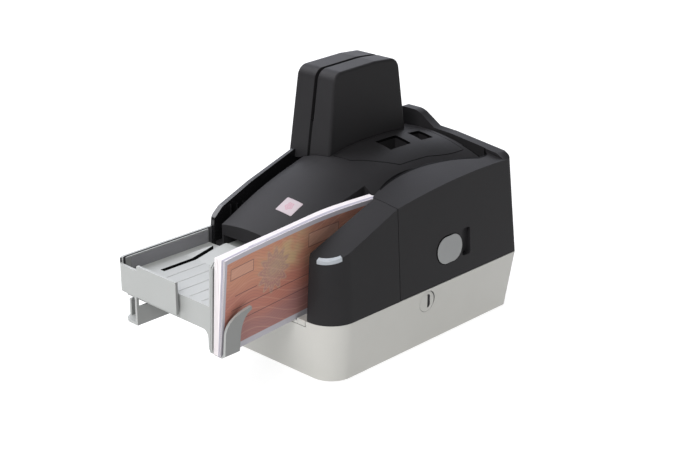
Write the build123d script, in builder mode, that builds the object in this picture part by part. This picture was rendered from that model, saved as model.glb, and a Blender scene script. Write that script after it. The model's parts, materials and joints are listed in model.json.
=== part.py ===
from build123d import *
import math
import os

os.makedirs("parts", exist_ok=True)

# Desktop cheque scanner, +Z up, +X towards the release button's side, -Y towards the trays.
# The origin is under the middle of the whole machine, on the surface that it stands on.
# All sizes are in millimetres and all angles in degrees.

# ---------------------------------------------------------------- lower housing
body_width = 127.2
body_length = 199.2
tray_reach = 79.5
foot_height = 1.5
base_height = 42.7
base_flare = 3.6
base_wall = 2.5
front_right_radius = 21.0
rim_corner_radius = 3.0
base_corner_radius = 6.5
foot_radius = 7.0
foot_inset = 16.0

# ---------------------------------------------------------------- upper housing
upper_draft = 3.3
left_wall = 7.5
exit_channel = 8.5
block_wall = 25.5
block_length = 68.0
hopper_width = 19.5
hopper_depth = 79.0
cover_seam_wall = 27.0
cover_corner_wall = 18.0
cover_rear_wall = 13.0
cover_bulge = 12.5
track_gap = 3.6
track_corner_radius = 8.0
seam_gap = 0.5
track_floor_drop = 4.2
deck_thickness = 2.5
fit_gap = 0.3

# ---------------------------------------------------------------- crowned tops
ridge_inset = 45.0
nose_ridge = 93.1
nose_crown_radius = 150.0
plate_ridge = 106.7
plate_crown_radius = 122.0
brow_ridge = 123.8
brow_crown_radius = 82.0
crest_ridge = 131.0
shoulder_ridge = 129.0
shoulder_crown_radius = 100.0
tail_ridge = 126.0
tail_crown_radius = 230.0
cover_crown_radius = 540.0
cover_seam_edge = 111.2
cover_crest_edge = 118.1
cover_tail_edge = 116.7
block_front_edge = 86.5
hump_height = 138.5
hump_x = -26.0
hump_ramp = 16.5
hump_foot = 128.0
rear_crest = 124.5

# ---------------------------------------------------------------- trays
eject_floor_z = 75.0
tray_plate = 2.2
tray_front_clearance = 1.8
tray_ramp_rise = 4.5
tray_ramp_length = 28.0
nose_mouth = 7.5
guard_height = 107.0
guard_rear_height = 76.5
guard_crest = 16.0
guard_fall = 38.0
guard_lean = 3.4
guard_skew = 0.0945
guard_plate = 1.6
guard_slide_plate = 1.1
guard_inset = 11.55
tray_skirt = 18.5
stopper_height = 24.5
stopper_drop = 14.0
stopper_wall = 2.2
stopper_span = 61.5
stopper_radius = 6.5
stopper_travel = 60.0
stopper_guide_left = 8.0
tray_slot_width = 4.0
tray_slot_length = 62.0
grip_drop = 21.0
feed_plate = 1.0
feed_rise = 2.4
feed_ledge = 5.0
feed_travel = 45.0
fin_height = 29.7
fin_lean = 5.0

# ---------------------------------------------------------------- cheques
cheque_length = 152.4
cheque_height = 68.5
stack_thickness = 6.2
stack_spread = 0.8
stack_free_lean = 4.0
stack_mouth_lean = 3.2
stack_rear_lean = 1.8

# ---------------------------------------------------------------- card reader tower
tower_setback = 87.0
tower_length = 80.0
tower_height = 186.5
tower_left_width = 18.5
tower_right_width = 20.0
tower_overhang_z = 119.5
reader_seam = 1.2
tower_edge_radius = 2.1
reader_seam_depth = 2.0
swipe_slot = 3.0
swipe_depth = 38.0

# ---------------------------------------------------------------- release button
button_length = 27.5
button_height = 20.5
button_centre_z = 68.0
button_from_seam = 53.5
button_travel = 2.5
button_gap = 0.35
finger_recess = 9.0

# ---------------------------------------------------------------- rollers and shafts
drive_radius = 8.0
pinch_radius = 4.5
roller_height = 16.0
shaft_radius = 2.0
shaft_clearance = 0.05
roller_nip = 0.2
roller_pocket_gap = 0.7

# ---------------------------------------------------------------- hinge
hinge_radius = 4.0
hinge_pin_radius = 2.0
hinge_side_inset = 16.0
hinge_rear_inset = 8.5
hinge_gap = 0.4

# Places that follow from the sizes above.
right_x = body_width / 2
left_x = -right_x
rear_y = (body_length + tray_reach) / 2
front_y = rear_y - body_length
tray_front_y = front_y - tray_reach
rim_z = foot_height + base_height
track_floor_z = rim_z - track_floor_drop
block_inner_x = right_x - block_wall
hopper_inner_x = block_inner_x - hopper_width
seam_y = front_y + block_length
step_y = front_y + hopper_depth
channel_outer_x = left_x + left_wall
centre_left_x = channel_outer_x + exit_channel
cover_inner_y = rear_y - cover_rear_wall
ridge_x = left_x + ridge_inset
hinge_x = left_x + hinge_side_inset
hinge_y = rear_y - hinge_rear_inset
tower_front_y = front_y + tower_setback
tower_left_x = left_x + 1.5
slot_left_x = tower_left_x + tower_left_width
slot_right_x = slot_left_x + swipe_slot
tower_right_x = slot_right_x + tower_right_width
slot_floor_z = tower_height - swipe_depth
tower_foot_z = 100.0
tower_rear_y = tower_front_y + tower_length


def plan_outline(inset):
    """Draw the machine's rounded plan in the active sketch, moved in by inset."""
    width = body_width - 2 * inset
    length = body_length - 2 * inset
    middle_y = (rear_y + front_y) / 2
    with Locations((0, middle_y)):
        Rectangle(width, length)
    corners = vertices()
    big_corner = max(corners, key=lambda v: v.X - v.Y)
    small_corners = [v for v in corners if v is not big_corner]
    flare_share = min(max(inset / base_flare, 0.0), 1.0)
    fillet(small_corners, rim_corner_radius + flare_share * (base_corner_radius - rim_corner_radius))
    sharp = [v for v in vertices() if v.X - v.Y > width / 2 - (middle_y - length / 2) - 0.01]
    fillet(sharp, front_right_radius - inset)


def tapered_block(low_z, low_inset, high_z, high_inset):
    """Return a solid lofted between the plan at two heights."""
    with BuildPart() as block:
        with BuildSketch(Plane.XY.offset(low_z)):
            plan_outline(low_inset)
        with BuildSketch(Plane.XY.offset(high_z)):
            plan_outline(high_inset)
        loft()
    return block.part


def arch_drop(x, radius):
    """How far an arch of this radius has fallen from its ridge at x."""
    return radius - math.sqrt(radius**2 - (x - ridge_x) ** 2)


def crowned_block(stations, drop=0.0):
    """Return a solid with an arched top through (y, ridge height, radius) stations, lowered."""
    tightest = min(radius for y, ridge, radius in stations)
    left = left_x - 10.0
    right = min(right_x + 10.0, ridge_x + 0.85 * tightest)
    with BuildPart() as block:
        for y, ridge, radius in stations:
            top = ridge - drop
            with BuildSketch(Plane.XZ.offset(-y)):
                with BuildLine():
                    left_top = (left, top - arch_drop(left, radius))
                    right_top = (right, top - arch_drop(right, radius))
                    ThreePointArc(left_top, (ridge_x, top), right_top)
                    Polyline(right_top, (right, 0), (left, 0), left_top)
                make_face()
        loft()
    return block.part


# The cheque track seen from above: the region inside the outer walls, open at the front.
seam_point = Vector(right_x - cover_seam_wall, seam_y)
turn_point = Vector(right_x - cover_corner_wall, cover_inner_y - 1.8 * track_corner_radius)
chord = turn_point - seam_point
bulge_way = Vector(-chord.Y, chord.X) / chord.length
bulge_point = (seam_point + turn_point) / 2 + bulge_way * cover_bulge
bulge_radius = chord.length**2 / (8 * cover_bulge) + cover_bulge / 2
bulge_centre = bulge_point - bulge_way * bulge_radius

with BuildSketch() as inside_walls:
    with BuildLine():
        ThreePointArc(seam_point, bulge_point, turn_point)
        Polyline(
            turn_point,
            (turn_point.X, cover_inner_y),
            (channel_outer_x, cover_inner_y),
            (channel_outer_x, front_y - 5.0),
            (block_inner_x, front_y - 5.0),
            (block_inner_x, seam_y),
            seam_point,
        )
    make_face()
    rear_corners = vertices().group_by(Axis.Y)[-1]
    fillet(rear_corners, track_corner_radius)

with BuildSketch() as centre_plan:
    add(inside_walls.sketch)
    offset(amount=-track_gap, kind=Kind.INTERSECTION)
    with Locations((centre_left_x, front_y - 10.0)):
        Rectangle(30, 220, align=(Align.MAX, Align.MIN), mode=Mode.SUBTRACT)
    with Locations((hopper_inner_x, step_y)):
        Rectangle(60, 120, align=(Align.MIN, Align.MAX), mode=Mode.SUBTRACT)
    with Locations((0, front_y + base_flare)):
        Rectangle(200, 60, align=(Align.CENTER, Align.MAX), mode=Mode.SUBTRACT)

upper_top_z = 145.0
upper_inset = math.tan(math.radians(upper_draft)) * (upper_top_z - rim_z)
upper_envelope = tapered_block(rim_z, 0.0, upper_top_z, upper_inset)

brow_y = front_y + 76.2
centre_stations = [
    (front_y - 3.0, nose_ridge - 3.0, nose_crown_radius),
    (front_y + 4.3, nose_ridge, nose_crown_radius),
    (front_y + 31.6, plate_ridge, plate_crown_radius),
    (front_y + 60.0, (plate_ridge + brow_ridge) / 2 + 2.7, (plate_crown_radius + brow_crown_radius) / 2),
    (brow_y, brow_ridge, brow_crown_radius),
    (brow_y + 17.0, brow_ridge + 4.3, brow_crown_radius),
    (brow_y + 52.0, crest_ridge, brow_crown_radius),
    (brow_y + 93.0, shoulder_ridge, shoulder_crown_radius),
    (rear_y - 8.0, tail_ridge, tail_crown_radius),
    (rear_y + 2.0, tail_ridge - 1.0, tail_crown_radius),
]
centre_crown = crowned_block(centre_stations)

edge_rise = arch_drop(right_x, cover_crown_radius)
cover_stations = [
    (seam_y - 2.0, cover_seam_edge - 0.3 + edge_rise, cover_crown_radius),
    (seam_y + 44.0, cover_crest_edge - 2.0 + edge_rise, cover_crown_radius),
    (seam_y + 85.0, cover_crest_edge + edge_rise, cover_crown_radius),
    (rear_y + 2.0, cover_tail_edge + edge_rise, cover_crown_radius),
]
cover_crown = crowned_block(cover_stations)

block_stations = [
    (front_y - 2.0, block_front_edge - 0.8 + edge_rise, cover_crown_radius),
    (front_y + 41.7, (block_front_edge + cover_seam_edge) / 2 + 2.6 + edge_rise, cover_crown_radius),
    (seam_y + 2.0, cover_seam_edge + 0.7 + edge_rise, cover_crown_radius),
]
block_crown = crowned_block(block_stations)


def save(node, name):
    """Label a finished sub-part and write its STEP file."""
    node.part.label = name
    export_step(node.part, f"parts/{name}.step")


# ================================================================ lower housing
base_shell = tapered_block(foot_height, base_flare, rim_z, 0.0)
base_cavity = tapered_block(foot_height + base_wall, base_flare + base_wall, rim_z + 1.0, base_wall)
hopper_middle_x = (hopper_inner_x + block_inner_x) / 2
lock_y = front_y + 97.5
lock_z = rim_z - 9.3
lock_radius = 8.0
lock_notch = 7.5
inlet_x = -33.0
usb_x = -11.0
rocker_x = 18.0
socket_z = 24.0
screw_places = [(-45.0, front_y + 18.0), (45.0, front_y + 30.0), (-45.0, rear_y - 18.0), (45.0, rear_y - 18.0)]
post_radius = 4.0
post_bore = 1.5
deck_under_z = track_floor_z - deck_thickness
board_z = 9.0
board_width = 76.0
board_length = 120.0
board_y = 36.0
board_boss_places = [(sx * 32.0, board_y + sy * 54.0) for sx in (-1, 1) for sy in (-1, 1)]

with BuildPart() as lower_housing:
    add(base_shell)
    add(base_cavity, mode=Mode.SUBTRACT)
    # Screw posts that carry the deck
    with BuildSketch(Plane.XY.offset(foot_height + base_wall)):
        with Locations(*screw_places):
            Circle(post_radius)
    extrude(amount=deck_under_z - foot_height - base_wall)
    with BuildSketch(Plane.XY.offset(foot_height - 1.0)):
        with Locations(*screw_places):
            Circle(post_bore)
    extrude(amount=deck_under_z - foot_height - 3.0, mode=Mode.SUBTRACT)
    with BuildSketch(Plane.XY.offset(foot_height)):
        with Locations(*screw_places):
            Circle(post_radius - 1.0)
    extrude(amount=base_wall - 0.8, mode=Mode.SUBTRACT)
    # The cheques pass over the front rim here
    with BuildSketch(Plane.XY.offset(track_floor_z - 0.6)):
        with Locations((hopper_middle_x, front_y)):
            Rectangle(hopper_width + 1.0, 12.0)
    extrude(amount=rim_z, mode=Mode.SUBTRACT)
    # Hole for the round security-lock cap in the right wall
    with BuildSketch(Plane.YZ.offset(right_x - 12.0)):
        with Locations((lock_y, lock_z)):
            Circle(lock_radius + 0.1)
    extrude(amount=16.0, mode=Mode.SUBTRACT)
    # Bosses below the main board
    with BuildSketch(Plane.XY.offset(foot_height + base_wall)):
        with Locations(*board_boss_places):
            Circle(3.0)
    extrude(amount=board_z - foot_height - base_wall)
    # Openings in the rear wall for the power inlet, the data socket and the power switch
    with BuildSketch(Plane.XZ.offset(-(rear_y - 8.0))):
        with Locations((inlet_x, socket_z)):
            Rectangle(12.4, 11.4)
        with Locations((usb_x, socket_z)):
            Rectangle(13.0, 12.0)
        with Locations((rocker_x, socket_z)):
            Rectangle(20.4, 13.4)
    extrude(amount=-12.0, mode=Mode.SUBTRACT)
save(lower_housing, "lower_housing")

foot_places = [
    (sx * (body_width / 2 - foot_inset), y)
    for sx in (-1, 1)
    for y in (front_y + foot_inset + 4.0, rear_y - foot_inset)
]
with BuildPart() as rubber_feet:
    with BuildSketch():
        with Locations(*foot_places):
            Circle(foot_radius)
    extrude(amount=foot_height)
    bottom_edges = edges().filter_by(GeomType.CIRCLE).group_by(Axis.Z)[0]
    chamfer(bottom_edges, 0.4)
save(rubber_feet, "rubber_feet")

with BuildPart() as housing_screws:
    with BuildSketch(Plane.XY.offset(foot_height + 0.6)):
        with Locations(*screw_places):
            Circle(post_radius - 1.2)
    extrude(amount=base_wall - 1.4)
    with BuildSketch(Plane.XY.offset(foot_height + base_wall - 0.8)):
        with Locations(*screw_places):
            Circle(post_bore)
    extrude(amount=deck_under_z - foot_height - base_wall - 4.0)
save(housing_screws, "housing_screws")

# ================================================================ centre housing
tongue_left_x = centre_left_x + 2.0
tongue_right_x = hopper_inner_x - 3.0
tongue_depth = 16.0
tongue_low_z = eject_floor_z - tray_skirt + 1.0
nose_under_z = eject_floor_z + nose_mouth
panel_left_x = tower_right_x + 0.8
panel_points = [
    (panel_left_x, front_y + 87.0),
    (-4.9, front_y + 89.5),
    (8.9, front_y + 104.1),
    (18.5, front_y + 116.7),
    (19.3, front_y + 145.6),
    (26.0, rear_y - 20.0),
    (panel_left_x, rear_y - 20.0),
]
panel_thickness = 2.0
panel_gap = 0.35
panel_floor = crowned_block(centre_stations, panel_thickness)
well_1 = (-4.8, front_y + 134.7, 15.5, 22.0)
well_2 = (-4.5, front_y + 164.5, 14.0, 13.0)
well_floor_z = crest_ridge - 15.0
rear_nip_x = -26.0


def nip_places():
    """Axes of the drive and pinch rollers: two pairs on the bulge and one behind."""
    drive_reach = bulge_radius + track_gap / 2 + roller_nip / 2 + drive_radius
    pinch_reach = bulge_radius + track_gap / 2 - roller_nip / 2 - pinch_radius
    drives = []
    pinches = []
    for y in (step_y + 14.0, step_y + 70.0):
        angle = math.pi - math.asin((y - bulge_centre.Y) / bulge_radius)
        way = Vector(math.cos(angle), math.sin(angle))
        drives.append(bulge_centre + way * drive_reach)
        pinches.append(bulge_centre + way * pinch_reach)
    rear_middle_y = cover_inner_y - track_gap / 2
    drives.append(Vector(rear_nip_x, rear_middle_y - roller_nip / 2 - drive_radius))
    pinches.append(Vector(rear_nip_x, rear_middle_y + roller_nip / 2 + pinch_radius))
    return drives, pinches


drive_axes, pinch_axes = nip_places()
drive_low_z = 68.0
drive_spots = [(p.X, p.Y) for p in drive_axes]
pinch_spots = [(p.X, p.Y) for p in pinch_axes]
shaft_top_z = 100.0
sensor_width = 12.0
sensor_depth = 9.0
sensor_low_z = rim_z + 1.0
sensor_high_z = 112.0
scan_x_front = 22.0
scan_x_rear = -4.0
head_y = (drive_axes[0].Y + drive_axes[1].Y) / 2


plate_x = -8.3
plate_y = front_y + 31.6
plate_width = 15.4
plate_length = 12.4
plate_depth = 0.8
plate_floor = crowned_block(centre_stations, plate_depth)
head_width = 11.0
head_depth = 9.0
head_low_z = 46.0
head_high_z = 64.0
head_angle = math.pi - math.asin((head_y - bulge_centre.Y) / bulge_radius)
head_way = Vector(math.cos(head_angle), math.sin(head_angle))
head_face = bulge_centre + head_way * (bulge_radius + track_gap)
head_plane = Plane(
    origin=(head_face.X, head_face.Y, head_low_z),
    x_dir=(-head_way.Y, head_way.X, 0),
    z_dir=(0, 0, 1),
)
head_side = -1
flapper_length = 26.0
flapper_thickness = 2.0
flapper_height = 30.0
flapper_low_z = 58.0
flapper_front_y = front_y + 34.0
flapper_pin_radius = 1.2
flapper_x = hopper_inner_x - 1.6
flapper_pin_y = flapper_front_y + 2.4

with BuildPart() as panel_space:
    with BuildSketch(Plane.XY.offset(rim_z)):
        with BuildLine():
            Polyline(*panel_points, close=True)
        make_face()
    extrude(amount=tower_height)
    add(panel_floor, mode=Mode.SUBTRACT)


def plate_column(grow):
    """Return the badge plate's upright column, grown by a clearance and cut off at its floor."""
    with BuildPart() as column:
        with BuildSketch(Plane.XY.offset(rim_z)):
            with Locations((plate_x, plate_y)):
                RectangleRounded(plate_width + 2 * grow, plate_length + 2 * grow, 0.8 + grow)
        extrude(amount=tower_height)
    return column.part


with BuildPart() as plate_space:
    add(plate_column(0.0))
    add(plate_floor, mode=Mode.SUBTRACT)

with BuildPart() as plate_seat:
    add(plate_column(0.1))
    add(plate_floor, mode=Mode.SUBTRACT)


def rectangles(*places):
    """Draw (centre x, centre y, width, length) rectangles in the active sketch."""
    for x, y, width, length in places:
        with Locations((x, y)):
            Rectangle(width, length)


# ================================================================ deck with the sunk cheque track
with BuildPart() as track_deck:
    with BuildSketch(Plane.XY.offset(deck_under_z)):
        plan_outline(base_wall + base_flare * (rim_z - deck_under_z) / base_height + fit_gap)
    extrude(amount=rim_z - deck_under_z)
    with BuildSketch(Plane.XY.offset(track_floor_z)):
        add(inside_walls.sketch)
        add(centre_plan.sketch, mode=Mode.SUBTRACT)
        with Locations((channel_outer_x, front_y - 8.0)):
            Rectangle(60, 40, align=(Align.MIN, Align.MIN), mode=Mode.SUBTRACT)
        with Locations((hopper_inner_x, front_y - 8.0)):
            Rectangle(hopper_width, 40, align=(Align.MIN, Align.MIN))
    extrude(amount=rim_z, mode=Mode.SUBTRACT)
    # Bores for the drive roller shafts
    with BuildSketch(Plane.XY.offset(deck_under_z)):
        with Locations(*drive_spots):
            Circle(shaft_radius + shaft_clearance)
        # Notch that clears the lock cap
        with Locations((right_x, lock_y)):
            Rectangle(2 * lock_notch, 2 * (lock_radius + 3.0))
    extrude(amount=deck_thickness + track_floor_drop, mode=Mode.SUBTRACT)
save(track_deck, "track_deck")

# ================================================================ ramp that lifts the cheques to the eject tray
ramp_start_x = 20.0
ramp_turn_z = 56.0
ramp_gap = 0.3

with BuildPart() as track_ramp:
    with BuildSketch(Plane.XZ.offset(-(cover_inner_y - ramp_gap))):
        with BuildLine():
            Polyline(
                (ramp_start_x, track_floor_z),
                (channel_outer_x + ramp_gap, ramp_turn_z),
                (channel_outer_x + ramp_gap, track_floor_z),
                close=True,
            )
        make_face()
    extrude(amount=track_gap - 2 * ramp_gap)
    with BuildSketch(Plane.YZ.offset(channel_outer_x + ramp_gap)):
        with BuildLine():
            Polyline(
                (cover_inner_y - track_corner_radius, track_floor_z),
                (cover_inner_y - ramp_gap, track_floor_z),
                (cover_inner_y - ramp_gap, ramp_turn_z),
                (step_y, eject_floor_z),
                (front_y + base_flare + 1.0, eject_floor_z),
                (front_y + base_flare + 1.0, track_floor_z),
                close=True,
            )
        make_face()
    extrude(amount=exit_channel - 2 * ramp_gap)
    # The corner follows the rounded turn of the track
    with BuildSketch(Plane.XY.offset(track_floor_z - 1.0)):
        add(inside_walls.sketch)
        offset(amount=-ramp_gap, kind=Kind.INTERSECTION)
    extrude(amount=tower_height, mode=Mode.INTERSECT)
    add(track_deck.part, mode=Mode.SUBTRACT)
save(track_ramp, "track_ramp")

# ================================================================ centre housing solid
with BuildPart() as centre_housing:
    with BuildSketch(Plane.XY.offset(rim_z)):
        add(centre_plan.sketch)
    extrude(amount=tower_height)
    add(centre_crown, mode=Mode.INTERSECT)
    # Mouth under the nose that takes the eject tray's tongue
    with BuildSketch(Plane.XZ.offset(-front_y + 10.0)):
        with Locations(((centre_left_x + hopper_inner_x) / 2, (tongue_low_z + nose_under_z) / 2)):
            Rectangle(hopper_inner_x - centre_left_x - 3.0, nose_under_z - tongue_low_z)
    extrude(amount=-(tongue_depth + 10.0 + base_flare), mode=Mode.SUBTRACT)
    # Seat of the top panel and the two wells below it
    add(panel_space.part, mode=Mode.SUBTRACT)
    with BuildSketch(Plane.XY.offset(well_floor_z)):
        rectangles(well_1, well_2)
    extrude(amount=40.0, mode=Mode.SUBTRACT)
    # Pockets and bearings of the drive rollers
    with BuildSketch(Plane.XY.offset(drive_low_z - roller_pocket_gap)):
        with Locations(*drive_spots):
            Circle(drive_radius + roller_pocket_gap)
    extrude(amount=roller_height + 2 * roller_pocket_gap, mode=Mode.SUBTRACT)
    with BuildSketch(Plane.XY.offset(rim_z)):
        with Locations(*drive_spots):
            Circle(shaft_radius + shaft_clearance)
    extrude(amount=shaft_top_z + 1.0 - rim_z, mode=Mode.SUBTRACT)
    # Pocket of the front image sensor, open to the track behind
    with BuildSketch(Plane.XY.offset(sensor_low_z)):
        with Locations((scan_x_front, cover_inner_y - track_gap)):
            Rectangle(sensor_width + 0.4, 2 * sensor_depth + 0.4)
    extrude(amount=sensor_high_z - sensor_low_z, mode=Mode.SUBTRACT)
    # Seat of the blank badge plate
    add(plate_seat.part, mode=Mode.SUBTRACT)
    # Pocket of the magnetic ink head beside the curved track
    with BuildSketch(head_plane.offset(-0.2)):
        Rectangle(head_width + 0.4, 2 * head_depth + 0.4)
    extrude(amount=head_high_z - head_low_z + 0.4, mode=Mode.SUBTRACT)
    # Pocket and pin bore of the feed flapper in the hopper's inner wall
    with BuildSketch(Plane.XY.offset(flapper_low_z - 0.4)):
        with Locations((hopper_inner_x + 1.0, flapper_front_y)):
            Rectangle(4.2, flapper_length + 0.8, align=(Align.MAX, Align.MIN))
    extrude(amount=flapper_height + 0.8, mode=Mode.SUBTRACT)
    with BuildSketch(Plane.XY.offset(flapper_low_z - 3.0)):
        with Locations((flapper_x, flapper_pin_y)):
            Circle(flapper_pin_radius + shaft_clearance)
    extrude(amount=flapper_height + 6.0, mode=Mode.SUBTRACT)
save(centre_housing, "centre_housing")

with BuildPart() as badge_plate:
    add(plate_space.part)
    add(centre_crown, mode=Mode.INTERSECT)
save(badge_plate, "badge_plate")

with BuildPart() as ink_head:
    with BuildSketch(head_plane):
        with Locations((0, head_side * head_depth / 2)):
            Rectangle(head_width, head_depth)
    extrude(amount=head_high_z - head_low_z)
save(ink_head, "ink_head")

with BuildPart() as feed_flapper:
    with BuildSketch(Plane.XY.offset(flapper_low_z)):
        with Locations((flapper_x + 0.6, flapper_front_y + 0.4)):
            Rectangle(flapper_thickness, flapper_length, align=(Align.CENTER, Align.MIN))
    extrude(amount=flapper_height)
    with BuildSketch(Plane.XY.offset(flapper_low_z - 2.6)):
        with Locations((flapper_x, flapper_pin_y)):
            Circle(flapper_pin_radius)
    extrude(amount=flapper_height + 5.2)
save(feed_flapper, "feed_flapper")

with BuildPart() as top_panel:
    with BuildSketch(Plane.XY.offset(rim_z)):
        with BuildLine():
            Polyline(*panel_points, close=True)
        make_face()
        offset(amount=-panel_gap, kind=Kind.INTERSECTION)
        for x, y, width, length in (well_1, well_2):
            with Locations((x, y)):
                Rectangle(width, length, mode=Mode.SUBTRACT)
    extrude(amount=tower_height)
    add(panel_floor, mode=Mode.SUBTRACT)
    add(centre_crown, mode=Mode.INTERSECT)
save(top_panel, "top_panel")

# ================================================================ left guide wall with the hinge side
corner_end_x = hinge_x - 5.0
arm_outer_x = left_x + 2.4
arm_inner_x = arm_outer_x + stopper_wall
stopper_top_z = eject_floor_z + stopper_height - stopper_drop
stopper_low_z = stopper_top_z - stopper_height + 1.5
arm_pocket_depth = stopper_travel + stopper_guide_left
rib_count = 10
rib_start = 20.0
rib_pitch = 6.0
rib_reach = 0.8
rib_height = 22.0
knuckle_top_z = 120.0
knuckle_count = 5
knuckle_pitch = (knuckle_top_z - rim_z - 1.0) / knuckle_count


def knuckle_span(index):
    """Low and high end of one hinge knuckle, counted from the bottom."""
    low = rim_z + 1.0 + index * knuckle_pitch
    return low + hinge_gap / 2, low + knuckle_pitch - hinge_gap / 2


with BuildPart() as left_guide_wall:
    with BuildSketch(Plane.XY.offset(rim_z)):
        plan_outline(0.0)
        add(inside_walls.sketch, mode=Mode.SUBTRACT)
        with Locations((corner_end_x, front_y + base_flare - 1.0)):
            Rectangle(300, 600, align=(Align.MIN, Align.CENTER), mode=Mode.SUBTRACT)
    extrude(amount=upper_top_z - rim_z)
    add(upper_envelope, mode=Mode.INTERSECT)
    with BuildSketch(Plane.YZ.offset(left_x - 5.0)) as wall_profile:
        with BuildLine():
            Polyline(
                (front_y + 2.0, rim_z),
                (front_y + 4.0, 91.5),
                (front_y + 12.1, 98.8),
                (front_y + 40.1, 110.3),
                (front_y + 82.9, 124.4),
                (front_y + 110.0, 128.5),
                (rear_y - 30.0, 129.5),
                (rear_y - 8.0, hump_height - 2.0),
                (rear_y + 1.0, hump_height - 2.0),
                (rear_y + 1.0, rim_z),
                close=True,
            )
        make_face()
        fillet(vertices().sort_by(Axis.X)[1:3], 5.0)
    extrude(amount=40.0, mode=Mode.INTERSECT)
    # Pocket in which the stopper's arm slides
    with BuildSketch(Plane.XZ.offset(-front_y + 1.0)):
        with Locations(((arm_outer_x + arm_inner_x) / 2, (stopper_low_z + stopper_top_z) / 2)):
            Rectangle(stopper_wall + 2 * fit_gap, stopper_height + 2 * fit_gap - 1.5)
        with Locations((arm_outer_x - 4.0, (stopper_low_z + stopper_top_z) / 2)):
            Rectangle(10.0, stopper_height + 2 * fit_gap - 1.5)
    extrude(amount=-(arm_pocket_depth + 1.0 + base_flare), mode=Mode.SUBTRACT)
    # Fine upright ribs on the exit channel's wall
    with BuildSketch(Plane.XY.offset(eject_floor_z + 1.0)):
        for index in range(rib_count):
            with Locations((channel_outer_x, front_y + rib_start + index * rib_pitch)):
                Rectangle(2 * rib_reach, 1.2)
    extrude(amount=rib_height)
    # Fixed hinge knuckles
    for index in range(0, knuckle_count, 2):
        low, high = knuckle_span(index)
        with BuildSketch(Plane.XY.offset(low)):
            with Locations((hinge_x, hinge_y)):
                Circle(hinge_radius)
            with Locations((hinge_x, hinge_y)):
                Rectangle(8.0, 2 * hinge_radius, align=(Align.MAX, Align.CENTER))
            with Locations((hinge_x, hinge_y)):
                Circle(hinge_pin_radius, mode=Mode.SUBTRACT)
        extrude(amount=high - low)
save(left_guide_wall, "left_guide_wall")

with BuildPart() as hinge_pin:
    with BuildSketch(Plane.XY.offset(rim_z)):
        with Locations((hinge_x, hinge_y)):
            Circle(hinge_pin_radius)
    extrude(amount=knuckle_top_z - rim_z)
save(hinge_pin, "hinge_pin")

# ================================================================ transport cover
cover_end_x = hinge_x + 10.0
cover_low_z = rim_z + 0.4
button_y = seam_y + button_from_seam
button_envelope = tapered_block(rim_z, -0.6, upper_top_z, upper_inset - 0.6)
recess_y = button_y + button_length / 2 + finger_recess / 2 + 0.5
flange_lip = 1.6
flange_x = right_x - 8.5
flange_thickness = 2.0
button_pocket_x = flange_x - flange_thickness - button_travel - 1.5

with BuildPart() as hump_block:
    with BuildSketch(Plane.XZ.offset(-(cover_inner_y - 1.0))):
        with BuildLine():
            Polyline(
                (cover_end_x, rim_z),
                (cover_end_x, hump_height),
                (hump_x, hump_height),
                (hump_x + hump_ramp, hump_foot),
                (hump_x + 2.0 * hump_ramp, hump_foot - 0.8),
                (right_x - 12.0, rear_crest - 2.5),
                (right_x, cover_tail_edge - 1.0),
                (right_x, rim_z),
                close=True,
            )
        make_face()
    extrude(amount=-cover_rear_wall - 2.0)

with BuildPart() as cover_blank:
    with BuildSketch(Plane.XY.offset(cover_low_z)):
        plan_outline(0.0)
    extrude(amount=upper_top_z - cover_low_z)
    add(cover_crown, mode=Mode.INTERSECT)
    add(hump_block.part)

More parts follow.
